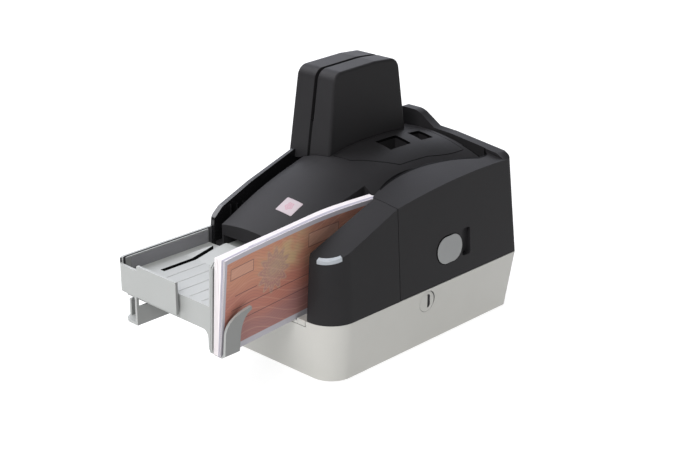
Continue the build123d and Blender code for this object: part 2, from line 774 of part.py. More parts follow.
with BuildPart() as transport_cover:
    with BuildSketch(Plane.XY.offset(cover_low_z)):
        plan_outline(0.0)
        add(inside_walls.sketch, mode=Mode.SUBTRACT)
        with Locations((0, seam_y + seam_gap)):
            Rectangle(300, 300, align=(Align.CENTER, Align.MAX), mode=Mode.SUBTRACT)
        with Locations((cover_end_x, rear_y)):
            Rectangle(100, 600, align=(Align.MAX, Align.CENTER), mode=Mode.SUBTRACT)
    extrude(amount=upper_top_z - cover_low_z)
    add(upper_envelope, mode=Mode.INTERSECT)
    add(cover_blank.part, mode=Mode.INTERSECT)
    # Moving hinge knuckles
    for index in range(1, knuckle_count, 2):
        low, high = knuckle_span(index)
        with BuildSketch(Plane.XY.offset(low)):
            with Locations((hinge_x, hinge_y)):
                Circle(hinge_radius)
            with Locations((hinge_x, hinge_y)):
                Rectangle(11.0, 2 * hinge_radius, align=(Align.MIN, Align.CENTER))
            with Locations((hinge_x, hinge_y)):
                Circle(hinge_pin_radius + shaft_clearance, mode=Mode.SUBTRACT)
        extrude(amount=high - low)
    # Pinch roller pockets and bearings
    with BuildSketch(Plane.XY.offset(drive_low_z - roller_pocket_gap)):
        with Locations(*pinch_spots):
            Circle(pinch_radius + roller_pocket_gap)
    extrude(amount=roller_height + 2 * roller_pocket_gap, mode=Mode.SUBTRACT)
    with BuildSketch(Plane.XY.offset(drive_low_z - 10.0)):
        with Locations(*pinch_spots):
            Circle(shaft_radius / 2 + shaft_clearance)
    extrude(amount=roller_height + 20.0, mode=Mode.SUBTRACT)
    # Pocket of the rear image sensor
    with BuildSketch(Plane.XY.offset(sensor_low_z + 1.0)):
        with Locations((scan_x_rear, cover_inner_y)):
            Rectangle(sensor_width + 0.4, 2 * (sensor_depth - 2.0) + 0.4)
    extrude(amount=sensor_high_z - sensor_low_z - 1.0, mode=Mode.SUBTRACT)
    # Release button's opening and the wider pocket of its flange
    with BuildSketch(Plane.YZ.offset(button_pocket_x)):
        with Locations((button_y, button_centre_z)):
            SlotOverall(button_length + 2 * button_gap, button_height + 2 * button_gap)
    extrude(amount=30.0, mode=Mode.SUBTRACT)
    with BuildSketch(Plane.YZ.offset(button_pocket_x)):
        with Locations((button_y, button_centre_z)):
            SlotOverall(
                button_length + 2 * (flange_lip + button_gap),
                button_height + 2 * (flange_lip + button_gap),
            )
    extrude(amount=flange_x + 0.3 - button_pocket_x, mode=Mode.SUBTRACT)
    # Finger recess beside the button
    with BuildSketch(Plane.YZ.offset(right_x - 4.5)):
        with Locations((recess_y, button_centre_z + 0.5)):
            RectangleRounded(finger_recess, button_height, 2.0)
    extrude(amount=10.0, mode=Mode.SUBTRACT)
save(transport_cover, "transport_cover")

with BuildPart() as release_button:
    with BuildSketch(Plane.YZ.offset(flange_x)):
        with Locations((button_y, button_centre_z)):
            SlotOverall(button_length, button_height)
    extrude(amount=20.0)
    add(button_envelope, mode=Mode.INTERSECT)
    with BuildSketch(Plane.YZ.offset(flange_x - flange_thickness)):
        with Locations((button_y, button_centre_z)):
            SlotOverall(button_length + 2 * flange_lip, button_height + 2 * flange_lip)
    extrude(amount=flange_thickness)
save(release_button, "release_button")

# ================================================================ hopper block
lens_outer = front_right_radius - 1.2
lens_inner = lens_outer - 4.6
lens_start = -78.0
lens_sweep = 56.0
lens_thickness = 2.6
lens_x = right_x - front_right_radius
lens_y = front_y + front_right_radius
pick_x = block_inner_x + 4.0
pick_y = front_y + 50.0
pick_low_z = 62.0
block_crown_low = crowned_block(block_stations, lens_thickness)


with BuildPart() as block_blank:
    with BuildSketch(Plane.XY.offset(rim_z)):
        plan_outline(0.0)
        add(inside_walls.sketch, mode=Mode.SUBTRACT)
        with Locations((0, seam_y)):
            Rectangle(300, 300, align=(Align.CENTER, Align.MIN), mode=Mode.SUBTRACT)
        with Locations((0, front_y)):
            Rectangle(300, 300, align=(Align.MAX, Align.CENTER), mode=Mode.SUBTRACT)
    extrude(amount=upper_top_z - rim_z)
    add(upper_envelope, mode=Mode.INTERSECT)
    add(block_crown, mode=Mode.INTERSECT)

with BuildPart() as lens_space:
    with BuildSketch(Plane.XY.offset(rim_z)) as lens_sketch:
        with BuildLine():
            outer_arc = CenterArc((lens_x, lens_y), lens_outer + 6.0, lens_start, lens_sweep)
            inner_arc = CenterArc((lens_x, lens_y), lens_inner, lens_start, lens_sweep)
            Line(outer_arc @ 0, inner_arc @ 0)
            Line(outer_arc @ 1, inner_arc @ 1)
        make_face()
    extrude(amount=upper_top_z)
    add(block_crown_low, mode=Mode.SUBTRACT)

with BuildPart() as hopper_block:
    add(block_blank.part)
    add(lens_space.part, mode=Mode.SUBTRACT)
    # Pocket and bearings of the pick roller
    with BuildSketch(Plane.XY.offset(pick_low_z - roller_pocket_gap)):
        with Locations((pick_x, pick_y)):
            Circle(drive_radius + roller_pocket_gap)
    extrude(amount=roller_height + 2 * roller_pocket_gap, mode=Mode.SUBTRACT)
    with BuildSketch(Plane.XY.offset(rim_z)):
        with Locations((pick_x, pick_y)):
            Circle(shaft_radius + shaft_clearance)
    extrude(amount=pick_low_z + roller_height + 7.0 - rim_z, mode=Mode.SUBTRACT)
save(hopper_block, "hopper_block")

with BuildPart() as status_lens:
    add(lens_space.part)
    add(block_blank.part, mode=Mode.INTERSECT)
save(status_lens, "status_lens")

# ================================================================ rollers
with BuildPart() as pick_roller:
    with BuildSketch(Plane.XY.offset(pick_low_z)):
        with Locations((pick_x, pick_y)):
            Circle(drive_radius)
    extrude(amount=roller_height)
    with BuildSketch(Plane.XY.offset(rim_z + 0.4)):
        with Locations((pick_x, pick_y)):
            Circle(shaft_radius)
    extrude(amount=pick_low_z + roller_height + 6.0 - rim_z)
save(pick_roller, "pick_roller")

pulley_low_z = deck_under_z - 8.0
pulley_radius = 6.0
for index, (x, y) in enumerate(drive_spots):
    with BuildPart() as drive_roller:
        with BuildSketch(Plane.XY.offset(drive_low_z)):
            with Locations((x, y)):
                Circle(drive_radius)
        extrude(amount=roller_height)
        with BuildSketch(Plane.XY.offset(pulley_low_z)):
            with Locations((x, y)):
                Circle(shaft_radius)
        extrude(amount=shaft_top_z - pulley_low_z)
        with BuildSketch(Plane.XY.offset(pulley_low_z)):
            with Locations((x, y)):
                Circle(pulley_radius)
        extrude(amount=6.0)
    save(drive_roller, f"drive_roller_{index + 1}")

for index, (x, y) in enumerate(pinch_spots):
    with BuildPart() as pinch_roller:
        with BuildSketch(Plane.XY.offset(drive_low_z)):
            with Locations((x, y)):
                Circle(pinch_radius)
        extrude(amount=roller_height)
        with BuildSketch(Plane.XY.offset(drive_low_z - 9.7)):
            with Locations((x, y)):
                Circle(shaft_radius / 2)
        extrude(amount=roller_height + 19.4)
    save(pinch_roller, f"pinch_roller_{index + 1}")

# ================================================================ image sensors in the track
with BuildPart() as front_image_sensor:
    with BuildSketch(Plane.XY.offset(sensor_low_z)):
        with Locations((scan_x_front, cover_inner_y - track_gap)):
            Rectangle(sensor_width, sensor_depth, align=(Align.CENTER, Align.MAX))
    extrude(amount=sensor_high_z - sensor_low_z)
save(front_image_sensor, "front_image_sensor")

with BuildPart() as rear_image_sensor:
    with BuildSketch(Plane.XY.offset(sensor_low_z + 1.0)):
        with Locations((scan_x_rear, cover_inner_y)):
            Rectangle(sensor_width, sensor_depth - 2.0, align=(Align.CENTER, Align.MIN))
    extrude(amount=sensor_high_z - sensor_low_z - 1.0)
save(rear_image_sensor, "rear_image_sensor")

# ================================================================ card reader tower
card_head_y = tower_front_y + 0.5 * tower_length
card_head_z = slot_floor_z + 8.0
card_head_depth = 8.0
card_head_length = 14.0
card_head_height = 9.0
card_head_reach = 0.6

with BuildPart() as tower_form:
    with BuildSketch(Plane.YZ.offset(tower_left_x - 2.0)):
        with BuildLine():
            lower_front = (tower_front_y - 1.5, tower_foot_z)
            upper_front = (tower_front_y + 6.0, tower_height - 1.2)
            crown_middle = (tower_front_y + 0.62 * tower_length, tower_height)
            upper_rear = (tower_rear_y - 6.0, tower_height - 1.8)
            lower_rear = (tower_rear_y + 3.0, tower_foot_z)
            Polyline(lower_front, upper_front, crown_middle, upper_rear, lower_rear, lower_front)
        make_face()
        upper_corners = [v for v in vertices() if v.Y > tower_foot_z + 1.0]
        fillet(upper_corners, 9.0)
    extrude(amount=tower_right_x - tower_left_x + 4.0)
    with BuildSketch(Plane.XZ.offset(-tower_front_y + 20.0)):
        with BuildLine():
            Polyline(
                (tower_left_x - 1.2, tower_foot_z),
                (tower_left_x + 0.2, tower_height + 2.0),
                (tower_right_x - 3.6, tower_height + 2.0),
                (tower_right_x + 0.8, tower_foot_z),
                close=True,
            )
        make_face()
    extrude(amount=-(tower_length + 60.0), mode=Mode.INTERSECT)
    upright = edges().filter_by(GeomType.LINE).filter_by(lambda e: abs(e.tangent_at(0).Z) > 0.9)
    fillet(upright, tower_edge_radius)

with BuildPart() as reader_left_half:
    add(tower_form.part)
    with Locations((slot_left_x, 0, 0)):
        Box(200, 600, 500, align=(Align.MIN, Align.CENTER, Align.CENTER), mode=Mode.SUBTRACT)
    add(left_guide_wall.part, mode=Mode.SUBTRACT)
    add(centre_crown, mode=Mode.SUBTRACT)
    with Locations((0, 0, 0)):
        Box(300, 600, tower_overhang_z, align=(Align.CENTER, Align.CENTER, Align.MIN), mode=Mode.SUBTRACT)
save(reader_left_half, "reader_left_half")

with BuildPart() as reader_right_half:
    add(tower_form.part)
    with Locations((slot_right_x, 0, slot_floor_z)):
        Box(200, 600, 500, align=(Align.MAX, Align.CENTER, Align.MIN), mode=Mode.SUBTRACT)
    with Locations((slot_left_x, 0, 0)):
        Box(200, 600, 500, align=(Align.MAX, Align.CENTER, Align.CENTER), mode=Mode.SUBTRACT)
    add(centre_crown, mode=Mode.SUBTRACT)
    # Pocket of the card head
    with Locations((slot_right_x, card_head_y, card_head_z)):
        Box(
            2 * card_head_depth,
            card_head_length,
            card_head_height,
            align=(Align.CENTER, Align.CENTER, Align.MIN),
            mode=Mode.SUBTRACT,
        )
    # Groove that carries the slot's line down to the foot
    with Locations(((slot_left_x + slot_right_x) / 2, tower_front_y, tower_foot_z)):
        Box(
            reader_seam,
            2 * reader_seam_depth,
            slot_floor_z - tower_foot_z,
            align=(Align.CENTER, Align.CENTER, Align.MIN),
            mode=Mode.SUBTRACT,
        )
save(reader_right_half, "reader_right_half")

# Magnetic head that reads swiped cards
with BuildPart() as card_head:
    with BuildSketch(Plane.XY.offset(card_head_z)):
        with BuildLine():
            nose = (slot_right_x - card_head_reach, card_head_y)
            front_nose = (slot_right_x, card_head_y - card_head_length / 4)
            rear_nose = (slot_right_x, card_head_y + card_head_length / 4)
            ThreePointArc(front_nose, nose, rear_nose)
            Polyline(
                rear_nose,
                (slot_right_x, card_head_y + card_head_length / 2),
                (slot_right_x + card_head_depth, card_head_y + card_head_length / 2),
                (slot_right_x + card_head_depth, card_head_y - card_head_length / 2),
                (slot_right_x, card_head_y - card_head_length / 2),
                front_nose,
            )
        make_face()
    extrude(amount=card_head_height)
save(card_head, "card_head")

# ================================================================ lock cap in the right wall
cap_gap = 0.1
cap_outer_x = right_x - 1.0
cap_flange_x = right_x - 6.2

with BuildPart() as lock_cap:
    with BuildSketch(Plane.YZ.offset(cap_flange_x)):
        with Locations((lock_y, lock_z)):
            Circle(lock_radius - cap_gap)
    extrude(amount=cap_outer_x - cap_flange_x)
    outer_rim = edges().filter_by(GeomType.CIRCLE).group_by(Axis.X)[-1]
    fillet(outer_rim, 0.6)
    with BuildSketch(Plane.YZ.offset(cap_flange_x)):
        with Locations((lock_y, lock_z)):
            Circle(lock_radius + 1.6)
    extrude(amount=1.8)
    # Upright slot beside a raised bar
    with BuildSketch(Plane.YZ.offset(cap_outer_x - 2.4)):
        with Locations((lock_y + 1.2, lock_z)):
            SlotOverall(10.0, 4.4, rotation=90)
        with Locations((lock_y - 0.2, lock_z)):
            Rectangle(1.6, 9.0, mode=Mode.SUBTRACT)
    extrude(amount=4.0, mode=Mode.SUBTRACT)
save(lock_cap, "lock_cap")

# ================================================================ electronics and drive below the deck
board_thickness = 1.6

with BuildPart() as main_board:
    with BuildSketch(Plane.XY.offset(board_z)):
        with Locations((0, board_y)):
            Rectangle(board_width, board_length)
    extrude(amount=board_thickness)
    with BuildSketch(Plane.XY.offset(board_z + board_thickness)):
        rectangles((-20.0, board_y - 10.0, 20.0, 20.0), (14.0, board_y - 34.0, 14.0, 18.0))
    extrude(amount=1.8)
    with BuildSketch(Plane.XY.offset(board_z + board_thickness)):
        rectangles((-28.0, board_y + 38.0, 8.0, 30.0), (24.0, board_y + 44.0, 18.0, 7.0))
    extrude(amount=5.5)
save(main_board, "main_board")

motor_x = -22.0
motor_y = front_y + 100.0
motor_size = 32.0
motor_low_z = 15.0
motor_high_z = 27.0
motor_pillar = 1.8
belt_gap = 0.3
belt_thickness = 1.1
belt_low_z = pulley_low_z + 0.6
belt_high_z = pulley_low_z + 5.4

with BuildPart() as drive_motor:
    with BuildSketch(Plane.XY.offset(motor_low_z)):
        with Locations((motor_x, motor_y)):
            RectangleRounded(motor_size, motor_size, 4.0)
    extrude(amount=motor_high_z - motor_low_z)
    with BuildSketch(Plane.XY.offset(motor_high_z)):
        with Locations((motor_x, motor_y)):
            with GridLocations(motor_size - 6.0, motor_size - 6.0, 2, 2):
                Circle(motor_pillar)
    extrude(amount=deck_under_z - motor_high_z)
    with BuildSketch(Plane.XY.offset(motor_low_z)):
        with Locations((motor_x, motor_y)):
            Circle(shaft_radius + shaft_clearance)
    extrude(amount=motor_high_z - motor_low_z, mode=Mode.SUBTRACT)
save(drive_motor, "drive_motor")

with BuildPart() as motor_pulley:
    with BuildSketch(Plane.XY.offset(motor_low_z + 1.0)):
        with Locations((motor_x, motor_y)):
            Circle(shaft_radius)
    extrude(amount=pulley_low_z + 7.0 - motor_low_z - 1.0)
    with BuildSketch(Plane.XY.offset(pulley_low_z)):
        with Locations((motor_x, motor_y)):
            Circle(pulley_radius)
    extrude(amount=6.0)
save(motor_pulley, "motor_pulley")

pulley_spots = [*drive_spots, (motor_x, motor_y)]


def belt_hull(radius):
    """Return the sketch of the band stretched round every pulley at this radius."""
    with BuildSketch() as hull:
        with Locations(*pulley_spots):
            Circle(radius)
        make_hull()
    return hull.sketch


with BuildPart() as drive_belt:
    with BuildSketch(Plane.XY.offset(belt_low_z)):
        add(belt_hull(pulley_radius + belt_gap + belt_thickness))
        add(belt_hull(pulley_radius + belt_gap), mode=Mode.SUBTRACT)
    extrude(amount=belt_high_z - belt_low_z)
save(drive_belt, "drive_belt")

# ================================================================ sockets and switch in the rear wall
socket_plane = Plane.XZ.offset(-(rear_y - base_flare - 0.4))
inlet_width = 12.0
inlet_height = 11.0
usb_width = 12.6
usb_height = 11.6
switch_width = 20.0
switch_height = 13.0
rocker_gap = 0.35

with BuildPart() as power_inlet:
    with BuildSketch(socket_plane):
        with Locations((inlet_x, socket_z)):
            Rectangle(inlet_width, inlet_height)
            Circle(3.2, mode=Mode.SUBTRACT)
    extrude(amount=14.0)
    with BuildSketch(socket_plane.offset(11.0)):
        with Locations((inlet_x, socket_z)):
            Circle(3.3)
    extrude(amount=3.0)
    with BuildSketch(socket_plane.offset(2.0)):
        with Locations((inlet_x, socket_z)):
            Circle(1.0)
    extrude(amount=11.0)
save(power_inlet, "power_inlet")

with BuildPart() as usb_socket:
    with BuildSketch(socket_plane):
        with Locations((usb_x, socket_z)):
            Rectangle(usb_width, usb_height)
            Rectangle(8.6, 7.8, mode=Mode.SUBTRACT)
    extrude(amount=16.0)
    with BuildSketch(socket_plane.offset(12.0)):
        with Locations((usb_x, socket_z)):
            Rectangle(8.8, 8.0)
    extrude(amount=4.0)
    with BuildSketch(socket_plane.offset(1.5)):
        with Locations((usb_x, socket_z)):
            Rectangle(5.6, 3.2)
    extrude(amount=12.0)
save(usb_socket, "usb_socket")

with BuildPart() as switch_frame:
    with BuildSketch(socket_plane):
        with Locations((rocker_x, socket_z)):
            Rectangle(switch_width, switch_height)
            Rectangle(switch_width - 3.0, switch_height - 3.0, mode=Mode.SUBTRACT)
    extrude(amount=12.0)
    with BuildSketch(socket_plane.offset(11.0)):
        with Locations((rocker_x, socket_z)):
            Rectangle(switch_width, switch_height)
    extrude(amount=3.0)
save(switch_frame, "switch_frame")

rocker_axis_y = rear_y - base_flare - 4.6
rocker_tip = 3.0

with BuildPart() as power_rocker:
    with BuildSketch(Plane.XY.offset(socket_z - switch_height / 2 + 1.5 + rocker_gap)):
        with BuildLine():
            half = (switch_width - 3.0) / 2 - rocker_gap - 0.4
            Polyline(
                (rocker_x - half, rocker_axis_y - 2.0),
                (rocker_x + half, rocker_axis_y - 2.0),
                (rocker_x + half, rocker_axis_y + rocker_tip),
                (rocker_x, rocker_axis_y + rocker_tip - 1.4),
                (rocker_x - half, rocker_axis_y + rocker_tip),
                close=True,
            )
        make_face()
    extrude(amount=switch_height - 3.0 - 2 * rocker_gap)
save(power_rocker, "power_rocker")

# ================================================================ eject tray, fixed in front
tray_left_x = arm_inner_x + 0.6
liner_thickness = 1.0
feed_left_x = block_inner_x - guard_inset
tray_right_x = feed_left_x + guard_plate
tray_outer_y = tray_front_y + stopper_wall + tray_front_clearance
tray_under_z = eject_floor_z - tray_skirt
tray_lip = 1.2
feed_floor_z = track_floor_z + feed_rise
guard_foot_z = feed_floor_z - feed_plate
feed_floor_setback = 50.0
tray_slot_x = centre_left_x + 6.5
tray_slot_front_y = tray_outer_y + 19.0
liner_top_z = stopper_top_z - 0.6
tray_fillet = 9.0

tray_rear_y = front_y - 0.4
tray_ramp_left_x = centre_left_x - 3.0


def guard_x(y):
    """Return where the tray's feed side wall stands at its foot, at one place along the tray."""
    return feed_left_x - guard_skew * (y - tray_outer_y)


def guard_section(y, low_x, thickness):
    """Return the leaning outline of a guard wall at one place along the tray."""
    with BuildSketch(Plane.XZ.offset(-y)) as section:
        with BuildLine():
            Polyline(
                (low_x, guard_foot_z),
                (low_x + thickness, guard_foot_z),
                (low_x + thickness + guard_lean, guard_height),
                (low_x + guard_lean, guard_height),
                close=True,
            )
        make_face()
    return section.sketch


def guard_wall(inset, thickness, drop):
    """Return an upright wall that leans with the cheques and falls towards the housing."""
    with BuildPart() as wall:
        add(guard_section(tray_outer_y, guard_x(tray_outer_y) + inset, thickness))
        add(guard_section(tray_rear_y, guard_x(tray_rear_y) + inset, thickness))
        loft(ruled=True)
        # The top edge falls towards the housing and the lower front corner is rounded off
        with BuildSketch(Plane.YZ.offset(0.0)):
            with BuildLine():
                Polyline(
                    (tray_outer_y, guard_foot_z + 5.0),
                    (tray_outer_y, guard_height - drop - 3.0),
                    (tray_outer_y + 2.5, guard_height - drop),
                    (tray_outer_y + guard_crest, guard_height - drop),
                    (tray_outer_y + guard_fall, guard_rear_height - drop),
                    (tray_rear_y + 1.0, guard_rear_height - drop),
                    (tray_rear_y + 1.0, guard_foot_z),
                    (tray_outer_y + 4.5, guard_foot_z),
                    (tray_outer_y + 1.2, guard_foot_z + 1.5),
                    close=True,
                )
            make_face()
        extrude(amount=right_x, mode=Mode.INTERSECT)
    return wall.part


guard_floor_lean = guard_lean * (eject_floor_z - guard_foot_z) / (guard_height - guard_foot_z)
tray_floor_inset = guard_plate / 2 + guard_floor_lean

with BuildPart() as eject_tray:
    # Front wall, whose foot sweeps down into the feed side's wall
    with BuildSketch(Plane.XZ.offset(-tray_outer_y)):
        with BuildLine():
            Polyline(
                (tray_left_x, eject_floor_z + tray_lip),
                (feed_left_x + tray_floor_inset, eject_floor_z + tray_lip),
                (tray_right_x, guard_foot_z + 6.0),
                (feed_left_x, guard_foot_z + 6.0),
                (feed_left_x, tray_under_z),
                (tray_left_x, tray_under_z),
                close=True,
            )
        make_face()
        inner_corner = [v for v in vertices() if v.X < feed_left_x + 0.1 and v.Y < tray_under_z + 0.1]
        fillet([v for v in inner_corner if v.X > feed_left_x - 0.1 and v.Y > tray_under_z - 0.1], tray_fillet)
    extrude(amount=-tray_plate)
    # Floor, left liner and the wall beside the feed side
    with BuildSketch(Plane.XY.offset(eject_floor_z - tray_plate)):
        with BuildLine():
            Polyline(
                (tray_left_x, tray_outer_y),
                (guard_x(tray_outer_y) + tray_floor_inset, tray_outer_y),
                (guard_x(tray_rear_y) + tray_floor_inset, tray_rear_y),
                (tray_left_x, tray_rear_y),
                close=True,
            )
        make_face()
    extrude(amount=tray_plate)
    with BuildSketch(Plane.XY.offset(tray_under_z)):
        with Locations((tray_left_x, tray_outer_y)):
            Rectangle(liner_thickness, front_y - tray_outer_y - 0.4, align=(Align.MIN, Align.MIN))
    extrude(amount=liner_top_z - tray_under_z)
    add(guard_wall(0.0, guard_plate, 0.0))
    # Low ramp that lifts the floor to the mouth under the nose
    with BuildSketch(Plane.XY.offset(eject_floor_z - 1.0)):
        with BuildLine():
            Polyline(
                (tray_ramp_left_x, tray_rear_y - tray_ramp_length),
                (tray_ramp_left_x + 4.5, tray_rear_y - tray_ramp_length / 2),
                (tray_ramp_left_x + 12.0, tray_rear_y),
                (guard_x(tray_rear_y) + tray_floor_inset, tray_rear_y),
                (guard_x(tray_rear_y - tray_ramp_length) + tray_floor_inset, tray_rear_y - tray_ramp_length),
                close=True,
            )
        make_face()
    extrude(amount=tray_ramp_rise + 1.0)
    with BuildSketch(Plane.YZ.offset(tray_ramp_left_x - 1.0)):
        with BuildLine():
            Polyline(
                (tray_rear_y - tray_ramp_length, eject_floor_z + 0.05),
                (tray_rear_y - tray_ramp_length / 3, eject_floor_z + tray_ramp_rise * 0.8),
                (tray_rear_y + 0.5, eject_floor_z + tray_ramp_rise),
                (tray_rear_y + 0.5, eject_floor_z + tray_ramp_rise + 5.0),
                (tray_rear_y - tray_ramp_length, eject_floor_z + tray_ramp_rise + 5.0),
                close=True,
            )
        make_face()
    extrude(amount=feed_left_x - tray_ramp_left_x + 1.0, mode=Mode.SUBTRACT)
    # Ledge below the feed extension
    ledge_front_y = tray_outer_y + feed_floor_setback
    with BuildSketch(Plane.XY.offset(guard_foot_z - feed_plate - fit_gap)):
        with BuildLine():
            Polyline(
                (guard_x(ledge_front_y), ledge_front_y),
                (guard_x(ledge_front_y) + feed_ledge, ledge_front_y),
                (guard_x(tray_rear_y) + feed_ledge, tray_rear_y),
                (guard_x(tray_rear_y), tray_rear_y),
                close=True,
            )
        make_face()
    extrude(amount=feed_plate)
    with BuildSketch(Plane.XY.offset(guard_foot_z - feed_plate - fit_gap)):
        with BuildLine():
            Polyline(
                (guard_x(ledge_front_y), ledge_front_y),
                (guard_x(ledge_front_y) + guard_plate, ledge_front_y),
                (guard_x(tray_rear_y) + guard_plate, tray_rear_y),
                (guard_x(tray_rear_y), tray_rear_y),
                close=True,
            )
        make_face()
    extrude(amount=2 * feed_plate)
    # Tongue that plugs into the mouth under the nose, with its ribs
    with BuildSketch(Plane.XY.offset(eject_floor_z - tray_plate)):
        with Locations((tongue_left_x, front_y - 1.0)):
            Rectangle(
                tongue_right_x - tongue_left_x - 0.5,
                tongue_depth + base_flare,
                align=(Align.MIN, Align.MIN),
            )
    extrude(amount=tray_plate)
    with BuildSketch(Plane.XY.offset(tongue_low_z)):
        with Locations((tongue_left_x + 6.0, front_y - 6.0), (tongue_right_x - 8.0, front_y - 6.0)):
            Rectangle(2.0, tongue_depth + base_flare + 4.0, align=(Align.CENTER, Align.MIN))
    extrude(amount=eject_floor_z - tray_plate - tongue_low_z)
    front_left_edges = [
        e
        for e in edges().filter_by(Axis.Z)
        if abs(e.center().X - tray_left_x) < 0.05 and abs(e.center().Y - tray_outer_y) < 0.05
    ]
    fillet(front_left_edges, 3.6)
    # Long slot in the floor
    with BuildSketch(Plane.XY.offset(eject_floor_z - 10.0)):
        with Locations((tray_slot_x, tray_slot_front_y)):
            Rectangle(tray_slot_width, tray_slot_length, align=(Align.CENTER, Align.MIN))
    extrude(amount=20.0, mode=Mode.SUBTRACT)
save(eject_tray, "eject_tray")

# ================================================================ eject stopper, slides out to the front
stopper_low_lip = 3.4
stopper_step_x = left_x + 24.0
grip_width = 15.0
grip_length = 20.0
grip_x = tray_slot_x - 2.0
grip_z = stopper_low_z - grip_drop

with BuildPart() as eject_stopper:
    with BuildSketch(Plane.XY.offset(stopper_low_z)):
        with BuildLine():
            Polyline(
                (arm_outer_x, front_y + arm_pocket_depth - 1.0),
                (arm_outer_x, tray_front_y),
                (arm_outer_x + stopper_span, tray_front_y),
                (arm_outer_x + stopper_span, tray_front_y + stopper_wall),
                (arm_inner_x, tray_front_y + stopper_wall),
                (arm_inner_x, front_y + arm_pocket_depth - 1.0),
                close=True,
            )
        make_face()
        front_left = [v for v in vertices() if v.X < arm_inner_x + 0.1 and v.Y < tray_front_y + 0.1]
        fillet(front_left, stopper_radius)
        inner_left = [v for v in vertices() if abs(v.X - arm_inner_x) < 0.1 and v.Y < tray_outer_y]
        fillet(inner_left, stopper_radius - stopper_wall)
    extrude(amount=stopper_top_z - stopper_low_z)
    # The front wall stands lower beside the corner
    with BuildSketch(Plane.XZ.offset(-tray_front_y + 1.0)):
        with Locations((arm_outer_x + stopper_radius - 4.0, stopper_top_z)):
            Rectangle(
                stopper_step_x - arm_outer_x - stopper_radius + 4.0,
                2 * stopper_low_lip,
                align=(Align.MIN, Align.CENTER),
            )
    extrude(amount=-(stopper_wall + 2.0), mode=Mode.SUBTRACT)
    # Pull grip below: an upright plate, a post and a half-round tongue
    with BuildSketch(Plane.YZ.offset(grip_x)):
        with BuildLine():
            Polyline(
                (tray_front_y, stopper_low_z + 0.5),
                (tray_front_y, grip_z),
                (tray_front_y + 52.0, grip_z),
                (tray_front_y + 52.0, tray_under_z - 1.6),
                (tray_front_y + stopper_wall, tray_under_z - 1.6),
                (tray_front_y + stopper_wall, stopper_low_z + 0.5),
                close=True,
            )
        make_face()
    extrude(amount=2.0)
    with BuildSketch(Plane.XY.offset(grip_z)):
        with Locations((grip_x + 1.0, tray_front_y)):
            Rectangle(grip_width, grip_length, align=(Align.MAX, Align.MIN))
        outer_corners = vertices().group_by(Axis.X)[0]
        fillet(outer_corners, 8.0)
    extrude(amount=2.0)
    with BuildSketch(Plane.XY.offset(grip_z)):
        with Locations((grip_x + 1.0 - grip_width + 2.0, tray_front_y + 8.0)):
            Rectangle(2.0, 5.0)
    extrude(amount=tray_under_z - 1.0 - grip_z)
save(eject_stopper, "eject_stopper")

# ================================================================ feed extension with its fin
slide_inset = guard_plate + fit_gap
fin_thickness = 2.0
fin_inner_x = feed_left_x + slide_inset + guard_slide_plate + stack_thickness + 1.8
fin_front_y = tray_outer_y + 2.45
fin_base_length = 12.7
fin_reach = 21.5
fin_foot_z = guard_foot_z + 2.4
floor_reach = slide_inset + guard_slide_plate + stack_thickness - 1.5

with BuildPart() as feed_extension:
    with BuildSketch(Plane.XY.offset(guard_foot_z)):
        with BuildLine():
            Polyline(
                (guard_x(fin_front_y) + slide_inset, fin_front_y),
                (guard_x(fin_front_y) + floor_reach, fin_front_y),
                (guard_x(tray_rear_y) + floor_reach, tray_rear_y),
                (guard_x(tray_rear_y) + slide_inset, tray_rear_y),
                close=True,
            )
        make_face()
    extrude(amount=feed_plate)
    add(guard_wall(slide_inset, guard_slide_plate, 0.6))
    # Arm that rises from the floor's edge to the fin
    arm_start_x = guard_x(fin_front_y + fin_base_length) + floor_reach - 1.0
    arm_bend_x = guard_x(fin_front_y) + floor_reach + 2.3
    fin_outer_x = fin_inner_x + fin_thickness
    with BuildSketch(Plane.XZ.offset(-fin_front_y)):
        with BuildLine():
            Polyline(
                (arm_start_x, guard_foot_z),
                (arm_bend_x, guard_foot_z),
                (fin_outer_x - 0.4, fin_foot_z),
                (fin_outer_x - 0.4, fin_foot_z + 1.6),
                (fin_inner_x + 0.3, fin_foot_z + 1.6),
                (arm_bend_x, feed_floor_z),
                (arm_start_x, feed_floor_z),
                close=True,
            )
        make_face()
    extrude(amount=-fin_base_length)
    fin_plane = Plane(
        origin=(fin_inner_x, fin_front_y, fin_foot_z),
        x_dir=(0, 1, 0),
        z_dir=(math.cos(math.radians(fin_lean)), 0, -math.sin(math.radians(fin_lean))),
    )
    with BuildSketch(fin_plane):
        with BuildLine():
            base_front = (0.0, 0.0)
            base_rear = (fin_base_length, 0.0)
            waist_front = (0.0, fin_height * 0.46)
            shoulder = (2.9, fin_height * 0.75)
            crown = (9.4, fin_height * 0.9)
            tip = (fin_reach, fin_height)
            tip_under = (fin_reach + 0.4, fin_height - 2.3)
            waist_rear = (16.1, fin_height * 0.77)
            hollow_rear = (13.2, fin_height * 0.45)
            Line(base_front, waist_front)
            Spline(waist_front, shoulder, crown, tip)
            Line(tip, tip_under)
            Spline(tip_under, waist_rear, hollow_rear, base_rear)
            Line(base_rear, base_front)
        make_face()
    extrude(amount=fin_thickness)
save(feed_extension, "feed_extension")

# ================================================================ cheques in the hopper
stack_rear_y = step_y - 1.0
stack_free_y = stack_rear_y - cheque_length
stack_bow_y = front_y + 30.0
stack_roller_y = front_y + 52.0
stack_fan_y = stack_free_y + 22.0
stack_low_z = feed_floor_z + 0.2
stack_clearance = slide_inset + guard_slide_plate + 0.5
stack_bow_x = hopper_inner_x + 1.6
stack_roller_x = hopper_inner_x + 1.8
stack_rear_x = hopper_inner_x + 3.6


